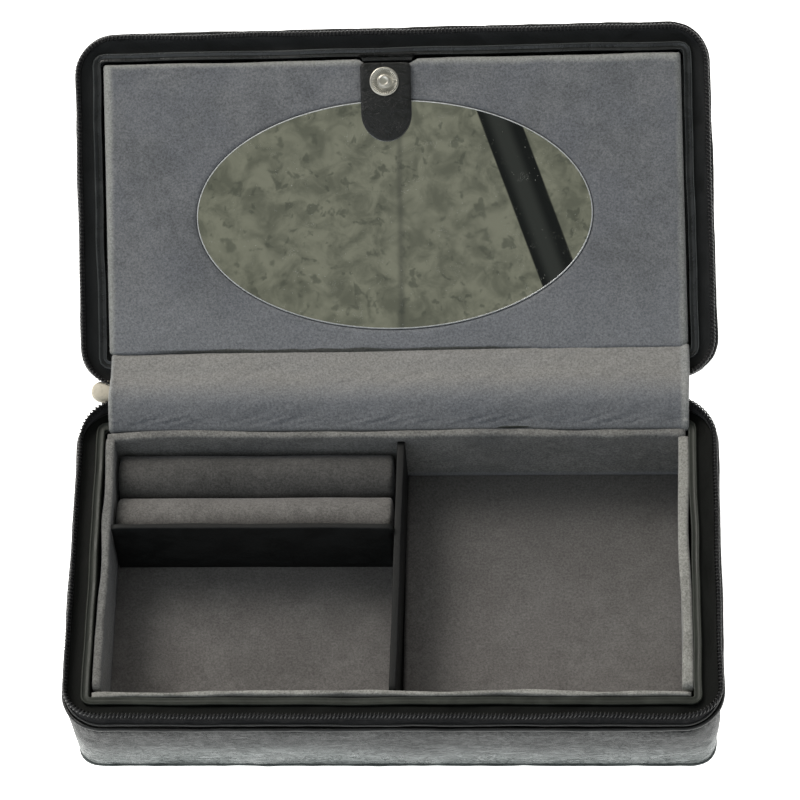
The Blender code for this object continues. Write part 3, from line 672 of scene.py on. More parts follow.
# What the looks are made with, by their makers: colours first, then roughness and the like.
SUEDES = {
    "lid_suede": ((0.128, 0.134, 0.141), (0.176, 0.182, 0.190), (0.142, 0.150, 0.166), 0.6, panel_painted_light),
    "spine_suede": ((0.150, 0.150, 0.150), (0.212, 0.210, 0.206), (0.150, 0.158, 0.182), 0.6, crest_painted_light),
    "pad_suede": ((0.150, 0.149, 0.141), (0.225, 0.223, 0.210), (0.165, 0.166, 0.164), 0.8),
    # A paler copy of pad_suede for the pads the light falls on: painted light.
    "light_pad_suede": ((0.238, 0.237, 0.218), (0.350, 0.348, 0.322), (0.275, 0.275, 0.252), 0.8),
    "floor_suede": ((0.140, 0.134, 0.129), (0.196, 0.189, 0.183), (0.154, 0.144, 0.139), 0.5, floor_painted_shade),
    "roll_suede": ((0.140, 0.135, 0.128), (0.190, 0.184, 0.175), (0.148, 0.142, 0.134)),
    # A darker copy of roll_suede for the roll in the rear wall's shade: painted shade.
    "rear_roll_suede": ((0.066, 0.065, 0.062), (0.092, 0.090, 0.086), (0.074, 0.073, 0.070)),
    "back_suede": ((0.110, 0.113, 0.120), (0.152, 0.155, 0.160), (0.118, 0.122, 0.136)),
}
LEATHERS = {
    "leather": ((0.0080, 0.0108, 0.0104), 0.27, 0.0009, 1.2, 0.04, 0.028, skin_painted_reflection),
    "cord_leather": ((0.007, 0.008, 0.008), 0.36, 0.0006, 0.35, 0.05, 0.012),
    "tab_leather": ((0.0060, 0.0068, 0.0062), 0.38, 0.0008, 0.3, 0.0, 0.008),
}
LININGS = {
    # The two collars are one cloth: the base's paler, greener colour is a painted reflection of the sky
    # above, the lid's darker one painted shade.
    "base_collar": ((0.020, 0.023, 0.018), 0.42, 0.30),
    "lid_collar": ((0.0075, 0.0085, 0.0085), 0.26, 0.45),
    # The two bands are one cloth: the base's darker copy is painted shade.
    "base_binding": ((0.0035, 0.0042, 0.0034), 0.62, 0.12),
    "lid_binding": ((0.0060, 0.0066, 0.0066), 0.50, 0.25),
    # Paler than the lid's collar cloth: a painted highlight along the welts.
    "welt": ((0.034, 0.038, 0.037), 0.34, 0.6),
    "divider": ((0.0060, 0.0066, 0.0064), 0.58, 0.25),
}
OTHERS = {
    "tape": (woven_tape,),
    "coil": (nylon,),
    "thread": (nylon,),
    "board": (board, (0.24, 0.21, 0.165), (0.34, 0.30, 0.24)),
    # Near black, so that where the base's boards show through the groove they pass for its shade: painted
    # shade.
    "hardboard": (board, (0.016, 0.015, 0.014), (0.028, 0.026, 0.024)),
    "nickel": (metal, (0.50, 0.485, 0.43), 0.30),
    "stud_nickel": (fluted_metal, (0.60, 0.58, 0.51)),
    "slider": (painted, (0.55, 0.505, 0.405)),
    "mirror": (mirror_face,),
    "glass_edge": (ground_glass,),
}


def make_looks():
    """Every material of the case."""
    looks = {}
    for make, table in ((suede, SUEDES), (leather, LEATHERS), (matte_lining, LININGS)):
        looks |= {name: make(name, *values) for name, values in table.items()}
    return looks | {name: make(name, *values) for name, (make, *values) in OTHERS.items()}


# ---------------------------------------------------------------- the two halves

def corner_push(outs):
    """How far the bottom of the skin bulges at the corners, which are tighter there than at the rim."""
    return CORNER_BULGE * (2 * outs[:, 0] * outs[:, 1]) ** 2


def build_skin(prefix, height, place, looks):
    """The leather band round one half, with its stitched groove, and the turned outer panel under it."""
    path, outs = rim_path(HALF_X, HALF_Y, CORNER, 0.00075)
    along = path_lengths(path)
    scallop = 0.5 + 0.5 * np.cos(2 * math.pi * along / STITCH_PITCH)
    low = -height
    face_top = -0.0044
    outline = [(-0.0009, -0.0024), (-0.0006, -0.0029)]
    groove = [(-0.0009, -0.0033), (-0.0011, -0.0037), (-0.0006, -0.0041)]
    face_low = low + 0.0020
    belly = 0.0003
    face = [(-belly - DRAFT * (z - face_top) / (low - face_top) + belly * math.sin(math.pi * share), z)
            for share, z in ((s, face_top + (face_low - face_top) * s) for s in np.linspace(0, 1, 9))]
    turn = arc_section((-DRAFT - 0.0014, face_low), 0.0012, 0, -88, 5)[1:]
    tuck = [(-DRAFT - 0.0030, low + 0.0009), (-DRAFT - 0.0030, low + 0.0032)]
    inner = [(-DRAFT - 0.0014, low + 0.0050), (-0.0017, -0.0050), (-0.0017, -0.0026)]
    section = np.array(outline + groove + face + turn + tuck + inner)
    rings = sweep(path, outs, section)
    scalloped = slice(len(outline), len(outline) + len(groove) + 1)
    scallop_in, scallop_down = 0.00055, 0.00045
    rings[:, scalloped] -= pushed(outs, (scallop_in * scallop)[:, None])
    rings[:, scalloped, 2] -= (scallop_down * scallop)[:, None]
    loose = slice(len(outline) + len(groove), len(outline) + len(groove) + len(face))
    dent = 0.00022 * wander(rings[:, loose], 11, 0.022) + 0.00010 * wander(rings[:, loose], 12, 0.006)
    rings[:, loose] += pushed(outs, dent)
    depth = np.clip((face_top - section[:, 1]) / (face_top - low), 0, 1)
    rings += pushed(outs, corner_push(outs)[:, None] * depth)
    piece = put(prefix + "_skin", rings, place, looks["leather"], close=True)
    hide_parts(prefix + "_side_leather")
    finish_piece(piece, prefix)

    step_path, step_outs = rim_path(HALF_X, HALF_Y, CORNER, 0.002)
    edge_wave = 0.00012 * wander(step_path, 13, 0.012)
    push = edge_wave - DRAFT + 0.0002 + corner_push(step_outs)
    border = (step_path + step_outs * push[:, None])[:, :2]
    rings = slab_rings(border, low, low + 0.0009, 0.00035)
    piece = put(prefix + "_outer_panel", rings, place, looks["leather"], caps=True)
    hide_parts(prefix + "_outer_leather")
    finish_piece(piece, prefix)


def build_stitches(prefix, place, looks):
    """The row of short stitches in the groove under the piping."""
    path, outs = rim_path(HALF_X, HALF_Y, CORNER, 0.0004, math.radians(80))
    along = path_lengths(path)
    count = int(along[-1] / STITCH_PITCH)
    sides, thread = 6, 0.00023
    meshes = []
    faces = []
    shares = np.linspace(-1, 1, 7)
    for number in range(count):
        middle = (number + 0.5) * STITCH_PITCH
        at = middle + shares * 0.36 * STITCH_PITCH
        points = along_path(at, along, path)
        out = along_path(at, along, outs)
        points += out * (-0.00105 + 0.00022 * (1 - shares ** 2))[:, None]
        points[:, 2] += -0.0037 + 0.00012 * math.sin(number * 2.4)
        rings = tube_rings(points, thread * np.sqrt(1.04 - shares ** 4), sides)
        base = len(meshes) * len(shares) * sides
        meshes.append(rings.reshape(-1, 3))
        for here in range(base, base + (len(shares) - 1) * sides, sides):
            for side in range(sides):
                after = (side + 1) % sides
                faces.append((here + side, here + after, here + sides + after, here + sides + side))
        last = base + (len(shares) - 1) * sides
        faces += [list(range(base, base + sides))[::-1], list(range(last, last + sides))]
    mesh = bpy.data.meshes.new(prefix + "_stitches")
    mesh.from_pydata(np.concatenate(meshes).tolist(), [], faces)
    mesh.transform(place)
    piece = link(prefix + "_stitches", mesh, looks["thread"])
    finish_piece(piece, prefix)


def build_piping(prefix, place, looks):
    """Two cords under the zip: a fine one on the rim, and the piping proper below it."""
    cords = (("upper_cord", 0.0012, -0.0001, 0.00052, 21), ("piping", 0.0002, -0.0020, 0.00082, 22))
    for name, inset, z, radius, seed in cords:
        path, outs = rim_path(HALF_X, HALF_Y, CORNER, 0.0012, PIPING_TURN)
        points = path - outs * inset
        points[:, 2] += z + 0.00012 * wander(path, seed, 0.014)
        points += outs * (0.00012 * wander(path, seed + 1, 0.02))[:, None]
        fade = np.clip(1 - (outs[:, 1] - 0.45) / 0.5, 0, 1) ** 0.5
        points -= outs * (0.0011 * (1 - fade))[:, None]
        thickness = radius * (1 + 0.06 * wander(path, seed + 2, 0.005)) * (0.3 + 0.7 * fade)
        rings = tube_rings(points, thickness, 12)
        piece = put(f"{prefix}_{name}", rings, place, looks["cord_leather"], caps=True)
        if name == "piping":
            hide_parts(prefix + "_rim_piping")
        finish_piece(piece, prefix)


def build_binding(prefix, place, looks):
    """The black band between the collar and the zip, hollowed a little where it is glued down."""
    path, outs = rim_path(HALF_X, HALF_Y, CORNER, 0.0025)
    inner = HALF_X - COLLAR_X + 0.0012
    shares = np.linspace(0, 1, 9)
    hollow = -0.0002 - 0.0005 * np.sin(math.pi * shares) ** 0.7
    top = [(-0.0013 - (inner - 0.0013) * share, z) for share, z in zip(shares, hollow)]
    under = [(-inner, -0.0010), (-0.0017, -0.0010), (-0.0011, -0.0006)]
    rings = sweep(path, outs, np.array(top + under))
    rings[:, 1:8, 2] += 0.00016 * wander(rings[:, 1:8], 31, 0.016)
    # The base's band takes the darker copy: painted shade.
    piece = put(prefix + "_rim_band", rings, place, looks[prefix + "_binding"], close=True)
    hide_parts(prefix + "_rim_binding")
    finish_piece(piece, prefix)


def build_collar(prefix, place, looks):
    """The black wall inside the rim, with a lap that lies on the band, and on the lid a welt along each edge,
    paler as a painted highlight.
    """
    path, outs = rim_path(COLLAR_X, COLLAR_Y, COLLAR_CORNER, 0.002)
    low = local_box(prefix + "_collar", place)[0].z
    wall = 0.0026 if prefix == "base" else 0.0020
    lap = 0.0006 if prefix == "base" else 0.0011
    top = COLLAR_TOP
    section = [(-0.0004, low), (-0.0004, -0.0003), (lap - 0.0002, -0.00015)]
    section += arc_section((lap - 0.0005, top - 0.0002), 0.00055, -30, 100, 6)
    section += [(0.0, top - 0.00008), (-wall / 2, top - 0.00005), (-wall + 0.0009, top)]
    section += arc_section((-wall + 0.0005, top - 0.0003), 0.0005, 95, 180, 5)
    section += [(-wall, low)]
    rings = sweep(path, outs, section)
    sway = 0.00018 * wander(path, 41, 0.03)
    heave = 0.0002 * wander(path, 42, 0.045)
    rings[:, 2:-1] += (outs * sway[:, None])[:, None, :]
    rings[:, 1:-1, 2] += heave[:, None]
    stand = TRAY if prefix == "base" else place
    # Each half takes its own collar copy: painted reflection on the base, painted shade on the lid.
    piece = put(prefix + "_lined_collar", rings, stand, looks[prefix + "_collar"], close=True)
    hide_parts(prefix + "_collar")
    finish_piece(piece, prefix)

    if prefix == "lid":
        welts = (("outer_welt", lap - 0.00005, 0.00030), ("inner_welt", 0.0004 - wall, 0.00018))
        for name, push, radius in welts:
            line = path + outs * (push + sway)[:, None]
            line[:, 2] += top + 0.00002 + heave
            # Painted highlight: the welts take the paler cloth.
            piece = put(f"{prefix}_{name}", tube_rings(line, radius, 8), place, looks["welt"], close=True)
            finish_piece(piece, prefix)


def build_zip(prefix, place, looks):
    """One stringer: woven tape that leans in from the rim, and the coil sewn along its edge.

    The front of the base leans in furthest, and both ends climb towards the spine."""
    path, outs = rim_path(HALF_X, HALF_Y, CORNER, 0.0015, ZIP_TURN)
    front = np.clip(-outs[:, 1], 0, 1) ** 2
    front_lean, end_climb = (0.0023, 0.0030) if prefix == "base" else (0.0006, 0.0004)
    inset = COIL_INSET + front_lean * front
    climb = np.clip(outs[:, 1], 0, 1) ** 2 * end_climb
    sway = 0.00022 * wander(path, 51, 0.035) - inset
    rise = 0.00018 * wander(path, 52, 0.04) + climb
    shares = np.linspace(0, 1, 5)
    outer = [(-0.0012 * (1 - s) - 0.0003 * math.sin(math.pi * s), (COIL_Z - 0.0006) * s) for s in shares]
    inner = [(x - 0.00045, z - 0.0001) for x, z in outer[::-1]]
    share = np.array(list(shares) + list(shares[::-1]))
    rings = sweep(path, outs, np.array(outer + inner))
    rings += pushed(outs, sway[:, None] * share)
    rings[..., 2] += rise[:, None] * share
    piece = put(prefix + "_tape", rings, place, looks["tape"], caps=True)
    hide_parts(prefix + "_zip_tape")
    finish_piece(piece, prefix)

    centre = path + outs * sway[:, None]
    centre[:, 2] += COIL_Z + rise
    along = path_lengths(centre)
    turns = int(along[-1] / COIL_PITCH)
    per_turn = 12
    at = np.arange(turns * per_turn + 1) * COIL_PITCH / per_turn
    middle = along_path(at, along, centre)
    out = unit(along_path(at, along, outs))
    phase = 2 * math.pi * np.arange(len(at)) / per_turn
    ahead = unit(np.gradient(middle, axis=0))
    half_wide, slant, half_high, wire_radius = 0.00080, 0.00034, 0.00125, 0.00028
    wire = middle + out * (half_wide * np.cos(phase))[:, None] + ahead * (slant * np.sin(phase))[:, None]
    wire[:, 2] += half_high * np.sin(phase)
    rings = tube_rings(wire, wire_radius, 6, ahead)
    piece = put(prefix + "_coil", rings, place, looks["coil"], caps=True)
    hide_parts(prefix + "_zip_coil")
    finish_piece(piece, prefix)

    lumps = 1 + 0.22 * np.cos(2 * math.pi * along / COIL_PITCH)
    for name, height, radius in (("coil_core", -0.0004, 0.00046), ("coil_seam", 0.0005, 0.00030 * lumps)):
        line = centre.copy()
        line[:, 2] += height
        piece = put(f"{prefix}_{name}", tube_rings(line, radius, 7), place, looks["tape"], caps=True)
        finish_piece(piece, prefix)


def finish_piece(piece, body):
    """Pull a piece out of square with its half, and ride on a body."""
    if body != "spine":
        piece.data.transform(BASE_RACK if body == "base" else LID_RACK)
    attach(piece, body)


def build_half(prefix, height, place, looks):
    """Everything that the base and the lid have in common."""
    build_skin(prefix, height, place, looks)
    for build in (build_stitches, build_piping, build_binding, build_collar, build_zip):
        build(prefix, place, looks)


# ---------------------------------------------------------------- the tray

def wall(name, start, end, thickness, low, top, radius, wave, bulge, seed, material):
    """An upright padded wall along a line in the base's frame, with a round top that wanders a little.

    The wave is how far its upper edge wanders: sideways, and half as much up and down. The bulge is
    how far its top stands out over its foot."""
    start = np.array(start, float)
    end = np.array(end, float)
    count = round(math.dist(start, end) / 0.002)
    shares = np.linspace(0, 1, count + 1)[:, None]
    path = np.hstack([start + (end - start) * shares, np.zeros((count + 1, 1))])
    ahead = (end - start) / math.dist(start, end)
    outs = np.broadcast_to(np.array([ahead[1], -ahead[0], 0.0]), path.shape)
    half = thickness / 2
    heights = np.linspace(low, top - radius, 9)[:-1]
    fall = 1 - np.clip(1 - (top - radius - heights) / 0.007, 0, 1) ** 2
    right = list(zip(half - bulge * fall, heights))
    right += arc_section((half - radius, top - radius), radius, 0, 90, 6)
    left = [(-x, z) for x, z in right[::-1]]
    if half - radius < 0.00005:
        left = left[1:]
    section = np.array(right + left)
    share = np.clip((section[:, 1] - low) / (top - low), 0, 1) ** 2
    rings = sweep(path, outs, section)
    rings += pushed(outs, wave * wander(path, seed, 0.05)[:, None] * share)
    swell = wander(path, seed + 1, 0.024)[:, None] * np.sign(section[:, 0]) * share
    rings += pushed(outs, 0.35 * wave * swell)
    rings[..., 2] += 0.5 * wave * wander(path, seed + 2, 0.07)[:, None] * share
    along = path_lengths(path)
    drop, reach = 0.0006, 0.0012
    ends = drop * np.exp(-along / reach) + drop * np.exp(-(along[-1] - along) / reach)
    rings[..., 2] -= ends[:, None] * share
    return put(name, rings, TRAY, material, caps=True)


def cushion(name, low, high, edge, crown, wave, seed, place, material, step=0.003):
    """A flat pad with rounded upper edges, a slight crown and a surface that wanders a little."""
    def spaced(first, last):
        rounds = edge * np.array([0, 0.08, 0.25, 0.5, 0.75, 1.0])
        inside = np.linspace(first + edge, last - edge, max(3, round((last - first) / step)))[1:-1]
        return np.concatenate([first + rounds, inside, (last - rounds)[::-1]])

    xs = spaced(low[0], high[0])
    ys = spaced(low[1], high[1])
    grid = np.stack(np.meshgrid(xs, ys, indexing="ij"), -1)
    side = np.minimum(np.minimum(grid[..., 0] - low[0], high[0] - grid[..., 0]),
                      np.minimum(grid[..., 1] - low[1], high[1] - grid[..., 1]))
    over = np.clip(1 - side / edge, 0, 1)
    drop = edge * (1 - np.sqrt(1 - over ** 2))
    middle = np.sin(math.pi * (grid[..., 0] - low[0]) / (high[0] - low[0])) * np.sin(
        math.pi * (grid[..., 1] - low[1]) / (high[1] - low[1]))
    spots = np.concatenate([grid, np.zeros((*grid.shape[:2], 1))], -1)
    settle = np.clip(side / 0.006, 0, 1)
    height = high[2] - crown - drop + crown * np.sqrt(middle) + settle * (
        0.6 * wave * wander(spots, seed, 0.045) + 0.4 * wave * wander(spots, seed + 1, 0.015))
    top = np.concatenate([grid, height[..., None]], -1)
    across, deep = len(xs), len(ys)
    points = top.reshape(-1, 3)
    number = np.arange(across * deep).reshape(across, deep)
    faces = np.stack([number[:-1, :-1], number[1:, :-1], number[1:, 1:], number[:-1, 1:]], -1).reshape(-1, 4)
    border = np.concatenate([number[:, 0], number[-1, 1:], number[-2::-1, -1], number[0, -2:0:-1]])
    foot = points[border] * [1, 1, 0] + [0, 0, low[2]]
    below = len(points) + np.arange(len(border))
    skirt = np.stack([border, below, np.roll(below, -1), np.roll(border, -1)], 1)
    mesh = bpy.data.meshes.new(name)
    mesh.from_pydata(
        np.concatenate([points, foot]).tolist(), [],
        faces.tolist() + skirt.tolist() + [below[::-1].tolist()])
    mesh.transform(place)
    mesh.update()
    return link(name, mesh, material)


def puff(piece, voxel, pressure, cap, low, high):
    """Swell a closed pad by a short cloth simulation, no further than cap, and keep it in a box."""
    remesh = piece.modifiers.new("remesh", "REMESH")
    remesh.mode = "VOXEL"
    remesh.voxel_size = voxel
    keep_evaluated(piece)
    before = coordinates(piece.data)
    cloth = piece.modifiers.new("cloth", "CLOTH")
    cloth.settings.mass = 0.02
    cloth.settings.use_pressure = True
    cloth.settings.uniform_pressure_force = pressure
    cloth.settings.effector_weights.gravity = 0.0
    cloth.settings.tension_stiffness = 5
    cloth.settings.compression_stiffness = 5
    cloth.point_cache.frame_end = CLOTH_FRAMES
    for number in range(1, CLOTH_FRAMES + 1):
        bpy.context.scene.frame_set(number)
    keep_evaluated(piece)
    bpy.context.scene.frame_set(1)
    after = coordinates(piece.data)
    move = after - before
    length = np.linalg.norm(move, axis=1)[:, None]
    after = before + move * np.minimum(1, cap / np.maximum(length, 1e-9))
    after = np.clip(after, np.array(low), np.array(high))
    piece.data.vertices.foreach_set("co", after.ravel())
    finer = piece.modifiers.new("finer", "SUBSURF")
    finer.levels = 1
    finer.render_levels = 1
    keep_evaluated(piece)
    piece.data.shade_smooth()
    return piece


def coordinates(mesh):
    """A mesh's points."""
    flat = np.zeros(len(mesh.vertices) * 3)
    mesh.vertices.foreach_get("co", flat)
    return flat.reshape(-1, 3)


def keep_evaluated(piece):
    """Make a piece's evaluated mesh its own, and drop its modifiers."""
    depsgraph = bpy.context.evaluated_depsgraph_get()
    made = bpy.data.meshes.new_from_object(piece.evaluated_get(depsgraph))
    materials = list(piece.data.materials)
    piece.modifiers.clear()
    piece.data = made
    if not made.materials:
        for material in materials:
            made.materials.append(material)


# How the photo's wall pads differ from the CAD's: thicker by, and both ends of the line moved by.
PAD_FIT = {"front": (-0.0015, -0.00075, -0.00075), "right": (0.0007, 0.00035, 0.00085)}


def centre_line(low, high, along_x, near, far):
    """A box's middle line along X or Y, with its two ends moved sideways, and the box's thickness."""
    middle = (low + high) / 2
    if along_x:
        return (low.x, middle.y + near), (high.x, middle.y + far), high.y - low.y
    return (middle.x + near, low.y), (middle.x + far, high.y), high.x - low.x


def build_tray(looks):
    """The tray's floor, its padded walls, the dividers and the ring rolls."""
    for number, side in enumerate(("left", "right")):
        node = "floor_pad_" + side
        low, high = local_box(node, BASE)
        pad = cushion(
            "floor_cushion_" + side, low, high, 0.0016, 0.0004, 0.00035, 61 + 5 * number, TRAY,
            looks["floor_suede"])
        soft_piece(pad, node, "base")

    for number, side in enumerate(("front", "rear", "left", "right")):
        node = "tray_pad_" + side
        low, high = local_box(node, BASE)
        flat_on = side in ("front", "rear")
        thicker, near, far = PAD_FIT.get(side, (0.0, 0.0, 0.0))
        start, end, thickness = centre_line(low, high, flat_on, near, far)
        thickness += thicker
        # The front and right pads take the paler copy: painted light.
        pad = wall(
            "padded_wall_" + side, start, end, thickness + 0.0002, low.z, high.z + 0.0002,
            min(0.0013, thickness / 2 - 0.0001), 0.0007 if flat_on else 0.0004, 0.0006,
            71 + 4 * number, looks["light_pad_suede" if side in ("front", "right") else "pad_suede"])
        soft_piece(pad, node, "base")

    for node, skew, seed in (("divider_long", 0.0009, 91), ("divider_cross", 0.0, 95)):
        low, high = local_box(node, BASE)
        start, end, thickness = centre_line(low, high, node == "divider_cross", -skew, skew)
        piece = wall(
            "covered_" + node, start, end, thickness, low.z, high.z, 0.0005, 0.0002, 0.0, seed,
            looks["divider"])
        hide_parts(node)
        finish_piece(piece, "base")

    for number, side in enumerate(("front", "rear")):
        build_roll("ring_roll_" + side, number, looks)


def build_roll(node, number, looks):
    """One foam roll of the ring holder, in suede, a little flattened between its neighbours."""
    low, high = local_box(node, BASE)
    slack, squash = 0.0004, 0.8
    half = (high.y - low.y) / 2 - slack
    middle_y = (low.y + high.y) / 2
    flank = high.z - squash * half
    angles = np.radians(np.linspace(0, 180, 13))
    section = [(half, low.z + slack)]
    section += [(half * math.cos(a), flank + squash * half * math.sin(a) - slack) for a in angles]
    section += [(-half, low.z + slack)]
    xs = np.linspace(low.x + slack, high.x - slack, 55)
    rings = [[(x, middle_y + y, z) for y, z in section] for x in xs]
    # The rear roll takes the darker copy: painted shade.
    look = "rear_roll_suede" if node.endswith("rear") else "roll_suede"
    roll = put("stuffed_" + node, rings, TRAY, looks[look], caps=True)
    puff(roll, 0.0022, 4.0, 0.0009, TRAY @ low, TRAY @ high)
    points = coordinates(roll.data)
    points[:, 2] += 0.00022 * wander(points, 101 + number, 0.03) - 0.0002
    roll.data.vertices.foreach_set("co", points.ravel())
    soft_piece(roll, node, "base")


def soft_piece(piece, node, body):
    """A padded piece that stands for a CAD node."""
    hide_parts(node)
    finish_piece(piece, body)


# ---------------------------------------------------------------- the spine

def smooth_curve(points, count):
    """A smooth line through points in a plane, evenly spaced."""
    points = np.array(points, float)
    padded = np.vstack([2 * points[0] - points[1], points, 2 * points[-1] - points[-2]])
    line = []
    for i in range(1, len(padded) - 2):
        before, here, there, after = padded[i - 1], padded[i], padded[i + 1], padded[i + 2]
        for t in np.linspace(0, 1, 24, endpoint=False):
            line.append(0.5 * (2 * here + (there - before) * t
                               + (2 * before - 5 * here + 4 * there - after) * t ** 2
                               + (3 * here - before - 3 * there + after) * t ** 3))
    line.append(points[-1])
    line = np.array(line)
    along = path_lengths(line)
    return along_path(np.linspace(0, along[-1], count), along, line)


def cloth_strip(name, profile, thickness, low_x, high_x, hem, seed, ripple, joined, material):
    """A strip of cloth along X whose section is a line in the YZ plane, thicker in a hem at both ends.

    joined is 0 or 1: the start or the end of the line, where the next strip carries on."""
    # A very short step at the joined end keeps the end face's shading off the strip.
    sliver = 0.00004
    index, end, inner = (1, profile[0], profile[1]) if joined == 0 else (-1, profile[-1], profile[-2])
    profile = np.insert(profile, index, end + (inner - end) * sliver / math.dist(end, inner), axis=0)
    edge = np.array([0.0, 0.00012, 0.0004, 0.0008, 0.0013, 0.0019, 0.0026, 0.0034])
    inside = np.arange(low_x + 0.005, high_x - 0.005, 0.0022)
    xs = np.concatenate([low_x + edge, inside, (high_x - edge)[::-1]])
    ahead = unit(np.gradient(profile, axis=0))
    normal = np.stack([-ahead[:, 1], ahead[:, 0]], 1)
    free = np.arange(len(profile))[::-1] if joined == 0 else np.arange(len(profile))
    settle = np.clip(free / 4, 0, 1)
    rings = []
    for x in xs:
        side = min(x - low_x, high_x - x)
        roll = math.sqrt(max(0.0, 1 - max(0.0, 1 - side / 0.0011) ** 2))
        plump = 1 + hem * math.exp(-((side - 0.0012) / 0.0011) ** 2)
        half = thickness / 2 * max(roll, 0.12) * plump
        spots = np.stack([np.full(len(profile), x), profile[:, 0], profile[:, 1]], 1)
        wave = ripple * wander(spots, seed, 0.05) + 0.4 * ripple * wander(
            spots * [0.35, 1, 1], seed + 1, 0.007)
        low = np.exp(-((spots[:, 1] - profile[0, 0] - 0.0024) / 0.0013) ** 2)
        wave += 1.3 * ripple * low * wander(spots * [0.25, 1, 1], seed + 2, 0.0013)
        middle = profile + normal * (wave * settle)[:, None]
        loop = np.concatenate([middle + normal * half, (middle - normal * half)[::-1]])
        rings.append(np.hstack([np.full((len(loop), 1), x), loop]))
    return put(name, rings, None, material, caps=True)


def rack_spine(mesh):
    """Pull a strip out of square with the base at one edge and with the lid at the other."""
    points = coordinates(mesh)
    share = np.clip((points[:, 1] - SPINE_AT.y + 0.005) / 0.020, 0, 1)[:, None]
    share = share * share * (3 - 2 * share)
    pulled = []
    for pull in (BASE_RACK, LID_RACK):
        pull = np.array(pull)
        pulled.append(points @ pull[:3, :3].T + pull[:3, 3])
    points = pulled[0] * (1 - share) + pulled[1] * share
    mesh.vertices.foreach_set("co", points.ravel())
    mesh.update()


def spine_section(points):
    """Points given in the lid's or the spine's frame as (place, y, z), as (y, z) in the row frame."""
    return [tuple(place @ Vector((0, y, z)))[1:] for place, y, z in points]


def build_spine(looks):
    """The lining that humps over the fold, and the leather of the spine, each in two strips."""
    pad_back = local_box("tray_pad_rear", BASE)[1] + TRAY.translation - BASE.translation
    panel_near = local_box("mirror_panel", LID)[0]
    lining_low, lining_high = local_box("base_lining_flap", BASE)
    crest = SPINE @ Vector((0, 0, 0.0088))
    lining = [(pad_back.y + 0.0007, SPINE_AT.z - 0.0010), (pad_back.y + 0.0010, SPINE_AT.z + 0.0008),
              (pad_back.y + 0.0034, SPINE_AT.z + 0.0032), (crest.y - 0.0002, crest.z - 0.0009)]
    lining += spine_section([
        (SPINE, 0.0052, 0.0078), (LID, 0.0040, 0.0052), (LID, 0.0088, 0.0031),
        (LID, panel_near.y - 0.0012, 0.0014), (LID, panel_near.y - 0.0006, 0.0001)])
    curve = smooth_curve(lining, 56)
    middle = SPINE @ Vector((0, SPINE_WIDTH / 2, 0))
    leather_line = [
        (HALF_Y + 0.0012 - DRAFT * 0.4, SPINE_AT.z - 0.0135), (HALF_Y + 0.0010, SPINE_AT.z - 0.006),
        (HALF_Y + 0.0008, SPINE_AT.z - 0.0012)]
    leather_line += spine_section([
        (SPINE, 0.0016, 0.0006), (SPINE, SPINE_WIDTH / 2, 0.0008), (SPINE, SPINE_WIDTH - 0.0016, 0.0006),
        (LID, -0.0008, -0.0012), (LID, -0.0010, -0.006), (LID, -0.0012 + DRAFT * 0.4, -0.0115)])
    leather_curve = smooth_curve(leather_line, 60)
    half_leather = local_box("spine_leather", SPINE)[1].x
    sheets = (
        ("lining", curve, 0.0012, lining_low.x + 0.0009, lining_high.x + 0.0003, 0.6, 0.00034,
         "spine_suede", "suede"),
        ("leather", leather_curve, 0.0010, -half_leather - 0.002, half_leather + 0.002, 0.1, 0.00012,
         "leather", "leather"),
    )
    nodes = {
        "lining": (("base_lining_flap", "spine_lining"), ("lid_lining_flap",)),
        "leather": (("spine_leather",), ()),
    }
    for name, line, thickness, low_x, high_x, hem, ripple, look, slot in sheets:
        split = int(np.argmin(np.abs(line[:, 0] - middle.y)))
        parts = (("lower", line[:split + 1], ("base", "spine")), ("upper", line[split:], ("spine", "lid")))
        for (part, piece_line, bodies), replaced in zip(parts, nodes[name]):
            piece = cloth_strip(
                f"spine_{name}_{part}", piece_line, thickness, low_x, high_x, hem, 111, ripple,
                1 if part == "lower" else 0, looks[look])
            rack_spine(piece.data)
            if replaced:
                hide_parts(*replaced)
            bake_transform(piece)


def build_slider(looks):
    """The slider: a rounded, painted body with the coils' channel through it, and its bail."""
    low, high = local_box("zip_slider", SPINE)
    centre = Vector(((low.x + high.x) / 2 + 0.0014, (low.y + high.y) / 2 + 0.0022, 0.0007))
    half = Vector((0.0062, 0.0044, 0.0031))
    angles = np.linspace(0, 2 * math.pi, 49)[:-1]
    rises = np.linspace(-math.pi / 2, math.pi / 2, 25)[1:-1]

    def power(value, exponent):
        return np.sign(value) * np.abs(value) ** exponent

    rings = []
    for rise in rises:
        wide = power(math.cos(rise), 0.72)
        ring = np.stack([
            centre.x + half.x * wide * power(np.cos(angles), 0.8),
            centre.y + half.y * wide * power(np.sin(angles), 0.8),
            np.full(len(angles), centre.z + half.z * power(math.sin(rise), 0.72))], 1)
        waist = 1 - 0.16 * np.exp(-((ring[:, 2] - centre.z + 0.0006) / 0.0007) ** 2)
        ring[:, 1] = centre.y + (ring[:, 1] - centre.y) * waist
        rings.append(ring)
    body = put("slider_body", rings, SPINE, looks["slider"], caps=True)
    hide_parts("zip_slider")
    finish_piece(body, "spine")
    bail_x = (low.x + high.x) / 2
    reach = 0.0023
    turns = np.linspace(0, math.pi, 17)
    arch = [(bail_x - reach * math.cos(a), (low.y + high.y) / 2, -0.0016 - 0.0027 * math.sin(a))
            for a in turns]
    rings = tube_rings(arch, 0.00048, 10, np.array([0, 1.0, 0]))
    finish_piece(put("slider_bail", rings, SPINE, looks["slider"], caps=True), "spine")


# ---------------------------------------------------------------- the lid's inside

